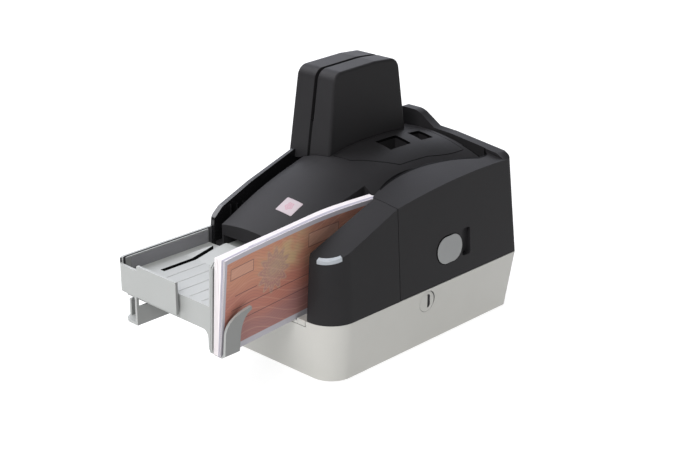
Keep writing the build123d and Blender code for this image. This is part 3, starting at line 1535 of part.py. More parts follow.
def bundle_section(y, back_x, lean, spread, inner, outer):
    """Return a bundle's outline at one place, between two depths into the stack."""
    top_z = stack_low_z + cheque_height
    whole = stack_thickness + spread
    with BuildSketch(Plane.XZ.offset(-y)) as section:
        with BuildLine():
            Polyline(
                (back_x + inner * stack_thickness, stack_low_z),
                (back_x + outer * stack_thickness, stack_low_z),
                (back_x + lean + outer * whole, top_z),
                (back_x + lean + inner * whole, top_z),
                close=True,
            )
        make_face()
    return section.sketch


def bundle(inner, outer):
    """Return the part of the bowed stack that lies between two shares of its thickness."""
    free_x = guard_x(stack_free_y) + stack_clearance
    fan_x = guard_x(stack_fan_y) + stack_clearance
    mouth_x = guard_x(front_y) + stack_clearance
    fan_lean = stack_mouth_lean + 0.4
    with BuildPart() as slab:
        add(bundle_section(stack_free_y, free_x, stack_free_lean, 4 * stack_spread, inner, outer))
        add(bundle_section(stack_fan_y, fan_x, fan_lean, 2 * stack_spread, inner, outer))
        add(bundle_section(front_y, mouth_x, stack_mouth_lean, stack_spread, inner, outer))
        add(bundle_section(stack_bow_y, stack_bow_x, 1.4, 3 * stack_spread, inner, outer))
        add(bundle_section(stack_roller_y, stack_roller_x, 1.6, 3 * stack_spread, inner, outer))
        add(bundle_section(stack_rear_y, stack_rear_x, stack_rear_lean, 3 * stack_spread, inner, outer))
        loft(ruled=True)
    return slab.part


with BuildPart() as cheque_stack:
    add(bundle(0.0, 0.9))
    add(bundle(0.92, 1.0))
save(cheque_stack, "cheque_stack")
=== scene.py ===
import json
import logging
import math
from contextlib import contextmanager
from dataclasses import dataclass
from enum import Enum
from typing import Callable, Iterator, Sequence

import bpy
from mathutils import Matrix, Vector


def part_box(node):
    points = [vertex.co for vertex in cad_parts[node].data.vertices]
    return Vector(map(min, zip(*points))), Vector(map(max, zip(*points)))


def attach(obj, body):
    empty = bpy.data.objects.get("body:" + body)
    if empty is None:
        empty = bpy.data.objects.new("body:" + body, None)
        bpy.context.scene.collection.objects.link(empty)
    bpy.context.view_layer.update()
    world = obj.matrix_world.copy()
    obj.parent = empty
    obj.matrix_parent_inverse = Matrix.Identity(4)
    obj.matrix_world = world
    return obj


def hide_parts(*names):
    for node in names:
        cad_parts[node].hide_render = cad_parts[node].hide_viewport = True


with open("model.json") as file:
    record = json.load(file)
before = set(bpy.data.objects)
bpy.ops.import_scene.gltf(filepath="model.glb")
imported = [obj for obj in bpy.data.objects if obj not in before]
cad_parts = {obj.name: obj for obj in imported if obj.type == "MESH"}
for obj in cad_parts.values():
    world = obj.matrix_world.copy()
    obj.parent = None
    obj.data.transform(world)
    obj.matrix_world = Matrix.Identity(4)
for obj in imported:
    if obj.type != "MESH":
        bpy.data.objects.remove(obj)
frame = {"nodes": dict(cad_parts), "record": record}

logging.basicConfig(level=logging.INFO, format="%(message)s")
log = logging.getLogger("cheque_scanner")

MM = 0.001
WELD_DISTANCE = 0.000004  # metres between points that are really one
FLAT_ANGLE = math.radians(0.4)  # faces that meet flatter than this are one face
ROUND_ANGLE = math.radians(32.0)  # edges sharper than this are rounded
SMOOTH_ANGLE = math.radians(38.0)  # edges sharper than this show as edges
Colour = tuple[float, float, float]
Point = tuple[float, float, float]
Section = tuple[float, float, float, float]
Piece = bpy.types.Object
Material = bpy.types.Material
Tree = bpy.types.NodeTree
Socket = bpy.types.NodeSocket
Finishes = dict[str, Material]
FaceRule = Callable[[Vector, Vector], bool]
EdgeRule = Callable[[Vector, Vector], bool]
PointRule = Callable[[Vector], bool]
WHITE: Colour = (1.0, 1.0, 1.0)


class Body(Enum):
    """The moving groups of the scanner, by their names in the frame."""

    SCANNER = "scanner"
    COVER = "cover"
    BUTTON = "button"
    STOPPER = "stopper"
    EXTENSION = "extension"
    STACK = "stack"


class Element(Enum):
    """The kinds of mesh elements, by the names of their lists."""

    VERT = "vertices"
    EDGE = "edges"
    FACE = "polygons"


class Texture(Enum):
    """How deep the mould's spark-eroded surface is."""

    FINE = 0.000020
    SOFT = 0.000010
    SMOOTH = 0.000003


# ---- working at the bench


def set_mode(mode: str) -> None:
    """Switch the active object to a mode."""
    bpy.ops.object.mode_set(mode=mode)


def deselect_all() -> None:
    """Leave nothing selected, in object mode."""
    if bpy.context.object and bpy.context.object.mode != "OBJECT":
        set_mode("OBJECT")
    bpy.ops.object.select_all(action="DESELECT")


def activate(obj: Piece) -> None:
    """Select one object alone and make it active."""
    deselect_all()
    obj.select_set(True)
    bpy.context.view_layer.objects.active = obj


@contextmanager
def edit(obj: Piece) -> Iterator[None]:
    """Work on one object in edit mode, with everything selected at first.

    Args:
        obj: The mesh object.

    Returns:
        The time in edit mode.
    """
    activate(obj)
    set_mode("EDIT")
    bpy.ops.mesh.select_all(action="SELECT")
    yield
    set_mode("OBJECT")


def pick(obj: Piece, kind: Element, wanted: Callable[[bpy.types.bpy_struct], bool]) -> None:
    """Select the elements of one kind that a rule wants and nothing else, in edit mode.

    Args:
        obj: The active mesh object.
        kind: The kind of element to select.
        wanted: A rule that gets each element of that kind.
    """
    set_mode("EDIT")
    bpy.ops.mesh.select_mode(type=kind.name)
    set_mode("OBJECT")
    mesh = obj.data
    for element in (*mesh.vertices, *mesh.edges, *mesh.polygons):
        element.select = False
    for element in getattr(mesh, kind.value):
        element.select = wanted(element)
    set_mode("EDIT")


def settle(obj: Piece) -> None:
    """Put an object's place, turn and scale into its mesh."""
    activate(obj)
    bpy.ops.object.transform_apply(location=True, rotation=True, scale=True)


def apply_modifiers(obj: Piece) -> None:
    """Apply every modifier of an object, in order."""
    activate(obj)
    for modifier in list(obj.modifiers):
        bpy.ops.object.modifier_apply(modifier=modifier.name)


def shade(obj: Piece) -> None:
    """Shade an object smooth between its sharp edges."""
    activate(obj)
    bpy.ops.object.shade_smooth_by_angle(angle=SMOOTH_ANGLE)


def round_edges(obj: Piece, width: float, segments: int = 3) -> None:
    """Round an object's sharp edges and shade it smooth.

    Args:
        obj: The mesh object.
        width: The rounding's width in metres.
        segments: Steps across the rounding.
    """
    bevel = obj.modifiers.new("rounded_edges", "BEVEL")
    bevel.width = width
    bevel.segments = segments
    bevel.limit_method = "ANGLE"
    bevel.angle_limit = ROUND_ANGLE
    bevel.use_clamp_overlap = True
    bevel.harden_normals = False
    apply_modifiers(obj)
    shade(obj)
    weigh = obj.modifiers.new("flat_faces_stay_flat", "WEIGHTED_NORMAL")
    weigh.mode = "FACE_AREA"
    weigh.weight = 50
    weigh.keep_sharp = True
    apply_modifiers(obj)


def copy_solid(node: str, name: str) -> Piece:
    """Copy a solid of the frame, with its points welded and its flat faces made whole.

    Args:
        node: The solid's name in the frame.
        name: The copy's name.

    Returns:
        The copy.
    """
    piece = bpy.data.objects.new(name, frame["nodes"][node].data.copy())
    bpy.context.scene.collection.objects.link(piece)
    with edit(piece):
        bpy.ops.mesh.remove_doubles(threshold=WELD_DISTANCE)
        bpy.ops.mesh.dissolve_limited(angle_limit=FLAT_ANGLE)
    return piece


def join_parts(name: str, parts: Sequence[Piece]) -> Piece:
    """Join several objects into one.

    Args:
        name: The joined object's name.
        parts: The objects to join.

    Returns:
        The joined object.
    """
    activate(parts[0])
    for part in parts[1:]:
        part.select_set(True)
    bpy.ops.object.join()
    joined = bpy.context.object
    joined.name = name
    return joined


def add_plane(name: str, size: float, tilt: float = 0.0) -> Piece:
    """Add a square plane at the origin.

    Args:
        name: The plane's name.
        size: Its side in metres.
        tilt: Its turn about X in degrees.

    Returns:
        The plane.
    """
    deselect_all()
    turn = (math.radians(tilt), 0.0, 0.0)
    bpy.ops.mesh.primitive_plane_add(size=size, location=(0.0, 0.0, 0.0), rotation=turn)
    plane = bpy.context.object
    plane.name = name
    return plane


def face_outwards() -> None:
    """Turn every face of the mesh in edit mode to the outside."""
    bpy.ops.mesh.select_all(action="SELECT")
    bpy.ops.mesh.normals_make_consistent(inside=False)


def millimetres(*steps: float) -> tuple[float, ...]:
    """Turn lengths in millimetres into metres."""
    return tuple(step * MM for step in steps)


def dress(obj: Piece, material: Material) -> None:
    """Give an object one material, in its only slot."""
    obj.data.materials.clear()
    obj.data.materials.append(material)


def seat(obj: Piece, body: Body, slot: str, *nodes: str) -> None:
    """Make a finished piece move with a body and stand for its nodes.

    Args:
        obj: The finished piece, with its place in its mesh.
        body: The body it moves with.
        slot: The material slot it takes its finish from; not used.
        nodes: The solids it stands for, if any.
    """
    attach(obj, body.value)
    if nodes:
        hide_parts(*nodes)
    log.info("%s: %d faces, on %s", obj.name, len(obj.data.polygons), body.value)


# ---- shared surface effects


def add_node(
    tree: Tree, kind: str, values: dict | None = None,
    group: Tree | None = None,
) -> bpy.types.Node:
    """Add a shader node.

    Args:
        tree: The node tree that it goes into.
        kind: Its kind, without the leading ShaderNode.
        values: Its own values, by input.
        group: The node group that it stands for, if any.

    Returns:
        The node.
    """
    node = tree.nodes.new(f"ShaderNode{kind}")
    if group:
        node.node_tree = group
    for name, value in (values or {}).items():
        node.inputs[name].default_value = value
    return node


def join_sockets(tree: Tree, *routes: tuple) -> None:
    """Link nodes, by routes of a node, its output, the next node and its input."""
    for source, outlet, target, inlet in routes:
        tree.links.new(source.outputs[outlet], target.inputs[inlet])


class Effects:
    """Shader node groups that the finishes share."""

    def __init__(self) -> None:
        """Build each group once."""
        self.grain = self._grain()
        self.mottle = self._mottle()

    @staticmethod
    def _group(name: str, inlets: dict[str, float | str], outlets: dict[str, str]) -> tuple:
        """Start a shader node group.

        Args:
            name: The group's name.
            inlets: Its inputs, each with a default number or a kind of socket.
            outlets: Its outputs, each with its kind of socket.

        Returns:
            The group, its input node and its output node.
        """
        tree = bpy.data.node_groups.new(name, "ShaderNodeTree")
        for way, sockets in (("INPUT", inlets), ("OUTPUT", outlets)):
            for label, value in sockets.items():
                kind = f"NodeSocket{value if isinstance(value, str) else 'Float'}"
                socket = tree.interface.new_socket(name=label, in_out=way, socket_type=kind)
                if not isinstance(value, str):
                    socket.default_value = value
        return tree, tree.nodes.new("NodeGroupInput"), tree.nodes.new("NodeGroupOutput")

    def _grain(self) -> Tree:
        """Build the moulded grain: a height from fine pits over soft waves.

        Returns:
            The node group.
        """
        inlets = {"Vector": "Vector", "Fine Scale": 3200.0, "Wave Scale": 90.0, "Wave Share": 0.25}
        tree, enter, leave = self._group("moulded_grain", inlets, {"Height": "Float"})
        fine = add_node(tree, "TexNoise", {"Detail": 2.0, "Roughness": 0.6})
        wave = add_node(tree, "TexNoise", {"Detail": 1.0})
        mix = add_node(tree, "Mix")
        mix.data_type = "FLOAT"
        join_sockets(
            tree,
            (enter, "Vector", fine, "Vector"),
            (enter, "Vector", wave, "Vector"),
            (enter, "Fine Scale", fine, "Scale"),
            (enter, "Wave Scale", wave, "Scale"),
            (enter, "Wave Share", mix, "Factor"),
            (fine, "Fac", mix, "A"),
            (wave, "Fac", mix, "B"),
            (mix, "Result", leave, "Height"),
        )
        return tree

    def _mottle(self) -> Tree:
        """Build the handled unevenness: a tinted colour and a roughness that drift slowly.

        Returns:
            The node group.
        """
        inlets = {
            "Vector": "Vector",
            "Colour": "Color",
            "Worn Colour": "Color",
            "Scale": 22.0,
            "Low Roughness": 0.4,
            "High Roughness": 0.5,
        }
        outlets = {"Colour": "Color", "Roughness": "Float"}
        tree, enter, leave = self._group("handled_mottle", inlets, outlets)
        drift = add_node(tree, "TexNoise", {"Detail": 4.0})
        ease = add_node(tree, "MapRange", {"From Min": 0.3, "From Max": 0.7})
        tint = add_node(tree, "Mix")
        tint.data_type = "RGBA"
        shine = add_node(tree, "MapRange")
        join_sockets(
            tree,
            (enter, "Vector", drift, "Vector"),
            (enter, "Scale", drift, "Scale"),
            (drift, "Fac", ease, "Value"),
            (ease, "Result", tint, "Factor"),
            (enter, "Colour", tint, "A"),
            (enter, "Worn Colour", tint, "B"),
            (ease, "Result", shine, "Value"),
            (enter, "Low Roughness", shine, "To Min"),
            (enter, "High Roughness", shine, "To Max"),
            (tint, "Result", leave, "Colour"),
            (shine, "Result", leave, "Roughness"),
        )
        return tree


@dataclass(frozen=True)
class MouldedFinish:
    """A moulded plastic, rubber or metal surface.

    Args:
        name: The material's name.
        colour: The main colour.
        worn: The colour that the surface drifts to, or how much lighter it gets.
        roughness: Lowest and highest roughness.
        texture: How deep the grain is.
        metallic: 1 for bare metal.
        specular: The shader's specular level.
    """

    name: str
    colour: Colour
    worn: Colour | float
    roughness: tuple[float, float]
    texture: Texture = Texture.FINE
    metallic: float = 0.0
    specular: float = 0.5

    def build(self, effects: Effects) -> Material:
        """Build the material from the shared effects.

        Args:
            effects: The node groups to use.

        Returns:
            The finished material.
        """
        material = bpy.data.materials.new(self.name)
        material.use_nodes = True
        tree = material.node_tree
        shader = tree.nodes["Principled BSDF"]
        place = add_node(tree, "TexCoord")
        worn = self.worn
        if isinstance(worn, float):
            worn = tuple(channel + worn for channel in self.colour)
        mottle = add_node(tree, "Group", {
            "Colour": (*self.colour, 1.0),
            "Worn Colour": (*worn, 1.0),
            "Scale": 24.0,
            "Low Roughness": self.roughness[0],
            "High Roughness": self.roughness[1],
        }, effects.mottle)
        pits = {"Fine Scale": 3200.0, "Wave Scale": 90.0, "Wave Share": 0.2}
        grain = add_node(tree, "Group", pits, effects.grain)
        bump = add_node(tree, "Bump", {"Strength": 1.0, "Distance": self.texture.value})
        shader.inputs["Metallic"].default_value = self.metallic
        shader.inputs["Specular IOR Level"].default_value = self.specular
        join_sockets(
            tree,
            (place, "Object", mottle, "Vector"),
            (place, "Object", grain, "Vector"),
            (mottle, "Colour", shader, "Base Color"),
            (mottle, "Roughness", shader, "Roughness"),
            (grain, "Height", bump, "Height"),
            (bump, "Normal", shader, "Normal"),
        )
        return material


FINISHES = (
    MouldedFinish("pale_plastic", (0.51, 0.505, 0.475), 0.03, (0.42, 0.50)),
    MouldedFinish("tray_plastic", (0.375, 0.385, 0.375), 0.03, (0.40, 0.48), specular=0.35),
    # painted shade: a darker grey for the right-looking faces of the tray parts, which get less of
    # the light
    MouldedFinish("guard_grey", (0.245, 0.25, 0.245), 0.02, (0.45, 0.55), specular=0.3),
    # painted shade: dark grey for the lock hole's walls, the lock cap's rim and the stopper's left
    # end, where shade falls
    MouldedFinish("shade_grey", (0.085, 0.085, 0.09), 0.015, (0.5, 0.6), specular=0.3),
    # painted shade: near-black for grooves, seams, slots and gaps between parts, where shadow falls
    MouldedFinish("channel_black", (0.0022, 0.0022, 0.0024), 0.0008, (0.5, 0.6), specular=0.05),
    MouldedFinish("dark_plastic", (0.0215, 0.0208, 0.0222), 0.003, (0.42, 0.48), specular=0.09),
    MouldedFinish("gloss_dark_plastic", (0.008, 0.008, 0.009), 0.003, (0.16, 0.24), Texture.SMOOTH),
    MouldedFinish("socket_black", (0.012, 0.012, 0.013), 0.004, (0.35, 0.45)),
    MouldedFinish("button_grey", (0.255, 0.262, 0.262), 0.03, (0.28, 0.36), Texture.SOFT),
    MouldedFinish("badge_white", (0.78, 0.76, 0.77), 0.04, (0.20, 0.28), Texture.SMOOTH),
    MouldedFinish("lens_clear", (0.32, 0.35, 0.38), 0.06, (0.12, 0.20), Texture.SMOOTH),
    MouldedFinish("sensor_glass", (0.02, 0.025, 0.025), 0.005, (0.05, 0.10), Texture.SMOOTH),
    MouldedFinish("foot_rubber", (0.025, 0.025, 0.025), (0.04, 0.04, 0.038), (0.75, 0.90)),
    MouldedFinish("roller_rubber", (0.035, 0.035, 0.04), 0.015, (0.60, 0.75)),
    MouldedFinish(
        "screw_steel", (0.55, 0.55, 0.54), (0.50, 0.49, 0.47), (0.25, 0.40), Texture.SOFT, 1.0
    ),
    MouldedFinish(
        "head_steel", (0.60, 0.60, 0.61), (0.56, 0.56, 0.56), (0.20, 0.32), Texture.SMOOTH, 1.0
    ),
    MouldedFinish(
        "motor_metal", (0.50, 0.50, 0.52), (0.45, 0.45, 0.46), (0.35, 0.50), Texture.SOFT, 1.0
    ),
    MouldedFinish(
        "board_green", (0.015, 0.10, 0.045), (0.02, 0.13, 0.06), (0.30, 0.42), Texture.SOFT
    ),
    MouldedFinish(
        "cheque_paper", (0.80, 0.755, 0.77), (0.86, 0.82, 0.83), (0.65, 0.75), Texture.SOFT
    ),
    # painted shade: the cheque paper darker and cooler, for the packets that lie in more shade
    MouldedFinish(
        "cheque_paper_grey", (0.42, 0.40, 0.475), (0.47, 0.45, 0.52), (0.65, 0.75), Texture.SOFT
    ),
    # painted shade: a dark grey sheet for the shadow on the tray's left inner wall
    MouldedFinish("liner_pad", (0.21, 0.21, 0.222), 0.02, (0.6, 0.7)),
)


class Wiring:
    """Shorthand for joining shader nodes, in one material."""

    def __init__(self, name: str) -> None:
        """Start a new material with its shader.

        Args:
            name: The material's name.
        """
        self.material = bpy.data.materials.new(name)
        self.material.use_nodes = True
        self.tree = self.material.node_tree
        self.shader = self.tree.nodes["Principled BSDF"]

    def put(self, target: Socket, value: Socket | float | Colour) -> None:
        """Join a socket to another, or set it to a number or a colour.

        Args:
            target: The input socket.
            value: What goes into it.
        """
        if isinstance(value, tuple):
            target.default_value = (*value, 1.0)
        elif isinstance(value, (int, float)):
            target.default_value = value
        else:
            self.tree.links.new(value, target)

    def math(self, operation: str, first: Socket, second: Socket | float = 0.0) -> Socket:
        """Add a math node.

        Args:
            operation: What it works out.
            first: Its first value.
            second: Its second value, if it takes one.

        Returns:
            Its result.
        """
        node = add_node(self.tree, "Math")
        node.operation = operation
        for socket, value in zip(node.inputs, (first, second, 0.0)):
            self.put(socket, value)
        return node.outputs[0]

    def plus(self, first: Socket, second: Socket | float) -> Socket:
        """Add two values."""
        return self.math("ADD", first, second)

    def minus(self, first: Socket, second: Socket | float) -> Socket:
        """Take the second value from the first."""
        return self.math("SUBTRACT", first, second)

    def times(self, first: Socket, second: Socket | float) -> Socket:
        """Multiply two values."""
        return self.math("MULTIPLY", first, second)

    def wave(self, value: Socket, pace: float) -> Socket:
        """Return the sine of a value times a number."""
        return self.math("SINE", self.times(value, pace))

    def petals(self, x: Socket, y: Socket, count: float, depth: float) -> Socket:
        """Wave the distance from a middle in and out into a ring of petals.

        Args:
            x: Distance from the middle one way.
            y: Distance from the middle the other way.
            count: How many petals go round.
            depth: How far they swing.

        Returns:
            The waved distance.
        """
        radius = self.math("SQRT", self.plus(self.times(x, x), self.times(y, y)))
        swing = self.wave(self.math("ARCTAN2", y, x), count)
        return self.plus(radius, self.times(swing, depth))

    def ramp(
        self, value: Socket, low: float, high: float, start: float = 0.0, end: float = 1.0
    ) -> Socket:
        """Map a value from one span to another, softly and clamped.

        Args:
            value: The value.
            low: Where the span starts.
            high: Where it ends.
            start: The result at its start.
            end: The result at its end.

        Returns:
            The mapped value.
        """
        spans = {"From Min": low, "From Max": high, "To Min": start, "To Max": end}
        node = add_node(self.tree, "MapRange", spans)
        node.interpolation_type = "SMOOTHSTEP"
        self.put(node.inputs["Value"], value)
        return node.outputs["Result"]

    def mix(self, factor: Socket, first: Socket | Colour, second: Socket | Colour) -> Socket:
        """Mix two colours.

        Args:
            factor: The second colour's share.
            first: The first colour.
            second: The second colour.

        Returns:
            The mixed colour.
        """
        node = add_node(self.tree, "Mix")
        node.data_type = "RGBA"
        for name, value in (("Factor", factor), ("A", first), ("B", second)):
            self.put(node.inputs[name], value)
        return node.outputs["Result"]

    def noise(self, vector: Socket, scale: float, detail: float) -> Socket:
        """Add a noise texture and return its value."""
        node = add_node(self.tree, "TexNoise", {"Scale": scale, "Detail": detail})
        self.put(node.inputs["Vector"], vector)
        return node.outputs["Fac"]

    def place(self) -> tuple[Socket, list[Socket]]:
        """Add the object's own coordinates.

        Returns:
            The coordinates, whole and split.
        """
        coordinates = add_node(self.tree, "TexCoord")
        split = add_node(self.tree, "SeparateXYZ")
        self.put(split.inputs["Vector"], coordinates.outputs["Object"])
        return coordinates.outputs["Object"], list(split.outputs)

    def band(self, value: Socket, middle: float, half: float, soft: float) -> Socket:
        """Return 1 near a middle value, fading to 0 beyond half a width."""
        distance = self.math("ABSOLUTE", self.minus(value, middle))
        return self.ramp(distance, half, half + soft, 1.0, 0.0)


@dataclass(frozen=True)
class PrintedCheque:
    """A cheque's printed face: a warm sunset wash, fine security lines and ruled fields.

    Args:
        name: The material's name.
        low_y: Where the sheet starts along the machine, in metres.
        length: Its length in metres.
        low_z: Its lower edge in metres.
        height: Its height in metres.
        shaded_margin: The unprinted border's colour: the paper in painted shade, darker and cooler.
        rules: Height, start and end of each ruled line, in shares of the sheet.
        boxes: Middle and half size of each empty box, in shares of the sheet.
    """

    name: str = "cheque_print"
    low_y: float = -0.13425
    length: float = 0.1524
    low_z: float = 0.0426
    height: float = 0.0685
    # painted shade: the unprinted paper border, darker and cooler than the paper
    shaded_margin: Colour = (0.47, 0.455, 0.50)
    rose: Colour = (0.36, 0.17, 0.155)
    salmon: Colour = (0.47, 0.185, 0.135)
    orange: Colour = (0.56, 0.255, 0.165)
    yellow: Colour = (0.55, 0.37, 0.21)
    plum: Colour = (0.14, 0.078, 0.08)
    ink: Colour = (0.07, 0.045, 0.05)
    mauve: Colour = (0.33, 0.20, 0.21)
    peach: Colour = (0.72, 0.42, 0.32)
    sand: Colour = (0.70, 0.52, 0.42)
    rules: tuple[Point, ...] = ((0.30, 0.06, 0.62), (0.44, 0.06, 0.74), (0.58, 0.08, 0.22))
    boxes: tuple[Section, ...] = ((0.12, 0.82, 0.075, 0.060), (0.66, 0.80, 0.10, 0.075))

    def build(self) -> Material:
        """Build the printed material.

        Returns:
            The finished material.
        """
        w = Wiring(self.name)
        whole, (_, along, up) = w.place()
        u = w.math("DIVIDE", w.minus(along, self.low_y), self.length)
        v = w.math("DIVIDE", w.minus(up, self.low_z), self.height)
        drift = w.noise(whole, 28.0, 3.0)
        cloud = w.noise(whole, 60.0, 4.0)
        level = w.plus(v, w.times(w.minus(drift, 0.5), 0.35))
        colour = w.mix(w.ramp(level, 0.15, 0.42), self.rose, self.salmon)
        colour = w.mix(w.ramp(level, 0.45, 0.75), colour, self.orange)
        glow = w.times(w.band(u, 0.40, 0.06, 0.16), w.ramp(level, 0.45, 0.72))
        colour = w.mix(w.times(glow, w.ramp(cloud, 0.35, 0.6)), colour, self.yellow)
        dusk = w.times(w.ramp(u, 0.40, 0.72), w.ramp(cloud, 0.30, 0.65, 0.35, 1.0))
        colour = w.mix(w.times(dusk, 0.55), colour, self.plum)
        for pattern in (self._rosette, self._security_lines, self._fields):
            colour = pattern(w, u, v, colour)
        # Outside the print the sheet shows the paper in painted shade.
        inside = w.times(w.ramp(u, 0.018, 0.021), w.ramp(v, 0.058, 0.064))
        inside = w.times(inside, w.ramp(v, 0.948, 0.954, 1.0, 0.0))
        w.put(w.shader.inputs["Base Color"], w.mix(inside, self.shaded_margin, colour))
        w.shader.inputs["Roughness"].default_value = 0.55
        w.shader.inputs["Specular IOR Level"].default_value = 0.35
        return w.material

    def _rosette(self, w: Wiring, u: Socket, v: Socket, colour: Socket) -> Socket:
        """Draw a turned rosette of petals above the middle.

        Args:
            w: The material's wiring.
            u: Place along the sheet, from 0 to 1.
            v: Place up the sheet, from 0 to 1.
            colour: The print so far.

        Returns:
            The print with the pattern.
        """
        across = w.times(w.minus(u, 0.33), self.length / self.height)
        waved = w.petals(across, w.minus(v, 0.66), 12.0, 0.035)
        rings = w.wave(waved, 105.0)
        disc = w.ramp(waved, 0.20, 0.215, 1.0, 0.0)
        colour = w.mix(w.times(disc, 0.55), colour, self.mauve)
        return w.mix(w.times(disc, w.ramp(rings, 0.1, 0.8, 0.0, 0.5)), colour, self.yellow)

    def _security_lines(self, w: Wiring, u: Socket, v: Socket, colour: Socket) -> Socket:
        """Draw fine wavy lines over the whole print.

        Args:
            w: The material's wiring.
            u: Place along the sheet, from 0 to 1.
            v: Place up the sheet, from 0 to 1.
            colour: The print so far.

        Returns:
            The print with the pattern.
        """
        lines = w.wave(w.plus(v, w.times(w.wave(u, 26.0), 0.045)), 190.0)
        broad = w.wave(w.minus(v, w.times(w.wave(u, 9.0), 0.12)), 60.0)
        colour = w.mix(w.ramp(lines, 0.55, 0.95, 0.0, 0.16), colour, self.plum)
        return w.mix(w.ramp(broad, 0.86, 0.98, 0.0, 0.18), colour, self.peach)

    def _fields(self, w: Wiring, u: Socket, v: Socket, colour: Socket) -> Socket:
        """Draw the ruled lines and the empty boxes of a form.

        Args:
            w: The material's wiring.
            u: Place along the sheet, from 0 to 1.
            v: Place up the sheet, from 0 to 1.
            colour: The print so far.

        Returns:
            The print with the pattern.
        """
        for level, start, end in self.rules:
            run = w.band(u, (start + end) / 2, (end - start) / 2, 0.002)
            line = w.times(w.band(v, level, 0.003, 0.002), run)
            colour = w.mix(w.times(line, 0.75), colour, self.ink)
        for middle_u, middle_v, half_u, half_v in self.boxes:
            outer, inner = (
                w.times(
                    w.band(u, middle_u, half_u - rim_u, 0.001),
                    w.band(v, middle_v, half_v - rim_v, 0.002),
                )
                for rim_u, rim_v in ((0.0, 0.0), (0.004, 0.009))
            )
            colour = w.mix(w.times(inner, 0.18), colour, self.sand)
            colour = w.mix(w.times(w.minus(outer, inner), 0.6), colour, self.ink)
        return colour


@dataclass(frozen=True)
class BadgePrint:
    """A white plate with a faint pink rosette in its middle.

    Args:
        name: The material's name.
        middle: The rosette's middle, in metres.
        reach: The rosette's radius in metres.
    """

    name: str = "badge_print"
    middle: tuple[float, float] = (-0.0083, -0.02825)
    reach: float = 0.0036
    paper: Colour = (0.42, 0.355, 0.38)
    pink: Colour = (0.42, 0.13, 0.19)

    def build(self) -> Material:
        """Build the badge's material.

        Returns:
            The finished material.
        """
        w = Wiring(self.name)
        _, (across, along, _) = w.place()
        x, y = (w.minus(place, middle) for place, middle in zip((across, along), self.middle))
        waved = w.petals(x, y, 5.0, 0.00045)
        disc = w.ramp(waved, self.reach * 0.9, self.reach, 1.0, 0.0)
        tint = w.times(disc, w.ramp(w.wave(waved, 5200.0), -0.2, 0.6, 0.10, 0.75))
        w.put(w.shader.inputs["Base Color"], w.mix(tint, self.paper, self.pink))
        w.shader.inputs["Roughness"].default_value = 0.5
        return w.material


# ---- mouldings from the solids


@dataclass(frozen=True)
class FaceTint:
    """Flat faces of a moulding that take another finish, which here is a painted shade.

    Args:
        finish: The finish's name.
        wanted: A rule that gets each face's centre, in millimetres, and normal.
    """

    finish: str
    wanted: FaceRule


@dataclass(frozen=True)
class SoftEdge:
    """Edges that get a wider rounding than the rest of a moulding.

    Args:
        wanted: A rule that gets the two ends of each edge in millimetres.
        width: The rounding's width in millimetres.
        segments: Steps across the rounding.
    """

    wanted: EdgeRule
    width: float
    segments: int = 5


@dataclass(frozen=True)
class PointMove:
    """Points of a moulding that are drawn in and moved before its edges are rounded.

    Args:
        wanted: A rule that gets each point's place in millimetres.
        move: How far the points move, in millimetres.
        about: The place that they are drawn towards, in millimetres.
        scale: How much of their distance from that place is left.
    """

    wanted: PointRule
    move: Point
    about: Point = (0.0, 0.0, 0.0)
    scale: Point = (1.0, 1.0, 1.0)

    def apply(self, piece: Piece) -> None:
        """Move the points, in edit mode."""
        pick(piece, Element.VERT, lambda point: self.wanted(point.co / MM))
        bpy.ops.transform.resize(value=self.scale, center_override=millimetres(*self.about))
        bpy.ops.transform.translate(value=millimetres(*self.move))


@dataclass
class Moulding:
    """A moulded piece that keeps its solid's shape and gets rounded edges.

    Args:
        node: The solid's name in the frame.
        body: The body it moves with.
        slot: Its material slot.
        edge: Width of the rounding in millimetres.
        finish: Name of the finish, if it isn't the slot's own.
        tints: Faces that take another finish, a painted shade.
        soft: Edges that get a wider rounding.
        shifts: Points that are moved first.
    """

    node: str
    body: Body = Body.SCANNER
    slot: str = "dark_plastic"
    edge: float = 0.5
    finish: str = ""
    tints: tuple[FaceTint, ...] = ()
    soft: tuple[SoftEdge, ...] = ()
    shifts: tuple[PointMove, ...] = ()

    def build(self, finishes: Finishes) -> Piece:
        """Copy the solid, join its faces, round its edges and dress it.

        Args:
            finishes: Every material by name.

        Returns:
            The finished piece.
        """
        piece = copy_solid(self.node, f"{self.node}_moulding")
        with edit(piece):
            for shift in self.shifts:
                shift.apply(piece)
        dress(piece, finishes[self.finish or self.slot])
        for edge in self.soft:
            self._soften(piece, edge)
        # Tinted faces take a finish of painted shade.
        for number, tint in enumerate(self.tints, start=1):
            piece.data.materials.append(finishes[tint.finish])
            with edit(piece):
                pick(piece, Element.FACE, lambda f: tint.wanted(f.center / MM, f.normal))
                piece.active_material_index = number
                bpy.ops.object.material_slot_assign()
        if self.edge > 0:
            round_edges(piece, self.edge * MM)
        seat(piece, self.body, self.slot, self.node)
        return piece

    @staticmethod
    def _soften(piece: Piece, edge: SoftEdge) -> None:
        """Round the chosen edges more widely.

        Args:
            piece: The moulding.
            edge: The edges and their rounding.
        """
        activate(piece)

        def is_wanted(line: bpy.types.MeshEdge) -> bool:
            """Apply the rule to an edge's two ends."""
            return edge.wanted(*(piece.data.vertices[end].co / MM for end in line.vertices))

        pick(piece, Element.EDGE, is_wanted)
        bpy.ops.mesh.bevel(
            offset=edge.width * MM, segments=edge.segments, affect="EDGES", clamp_overlap=True
        )
        set_mode("OBJECT")


def looks_right(normal: Vector) -> bool:
    """Say whether a face looks to the machine's right."""
    return normal.x > 0.7


def stands_up(normal: Vector) -> bool:
    """Say whether a face is part of an upright wall."""
    return abs(normal.z) < 0.3


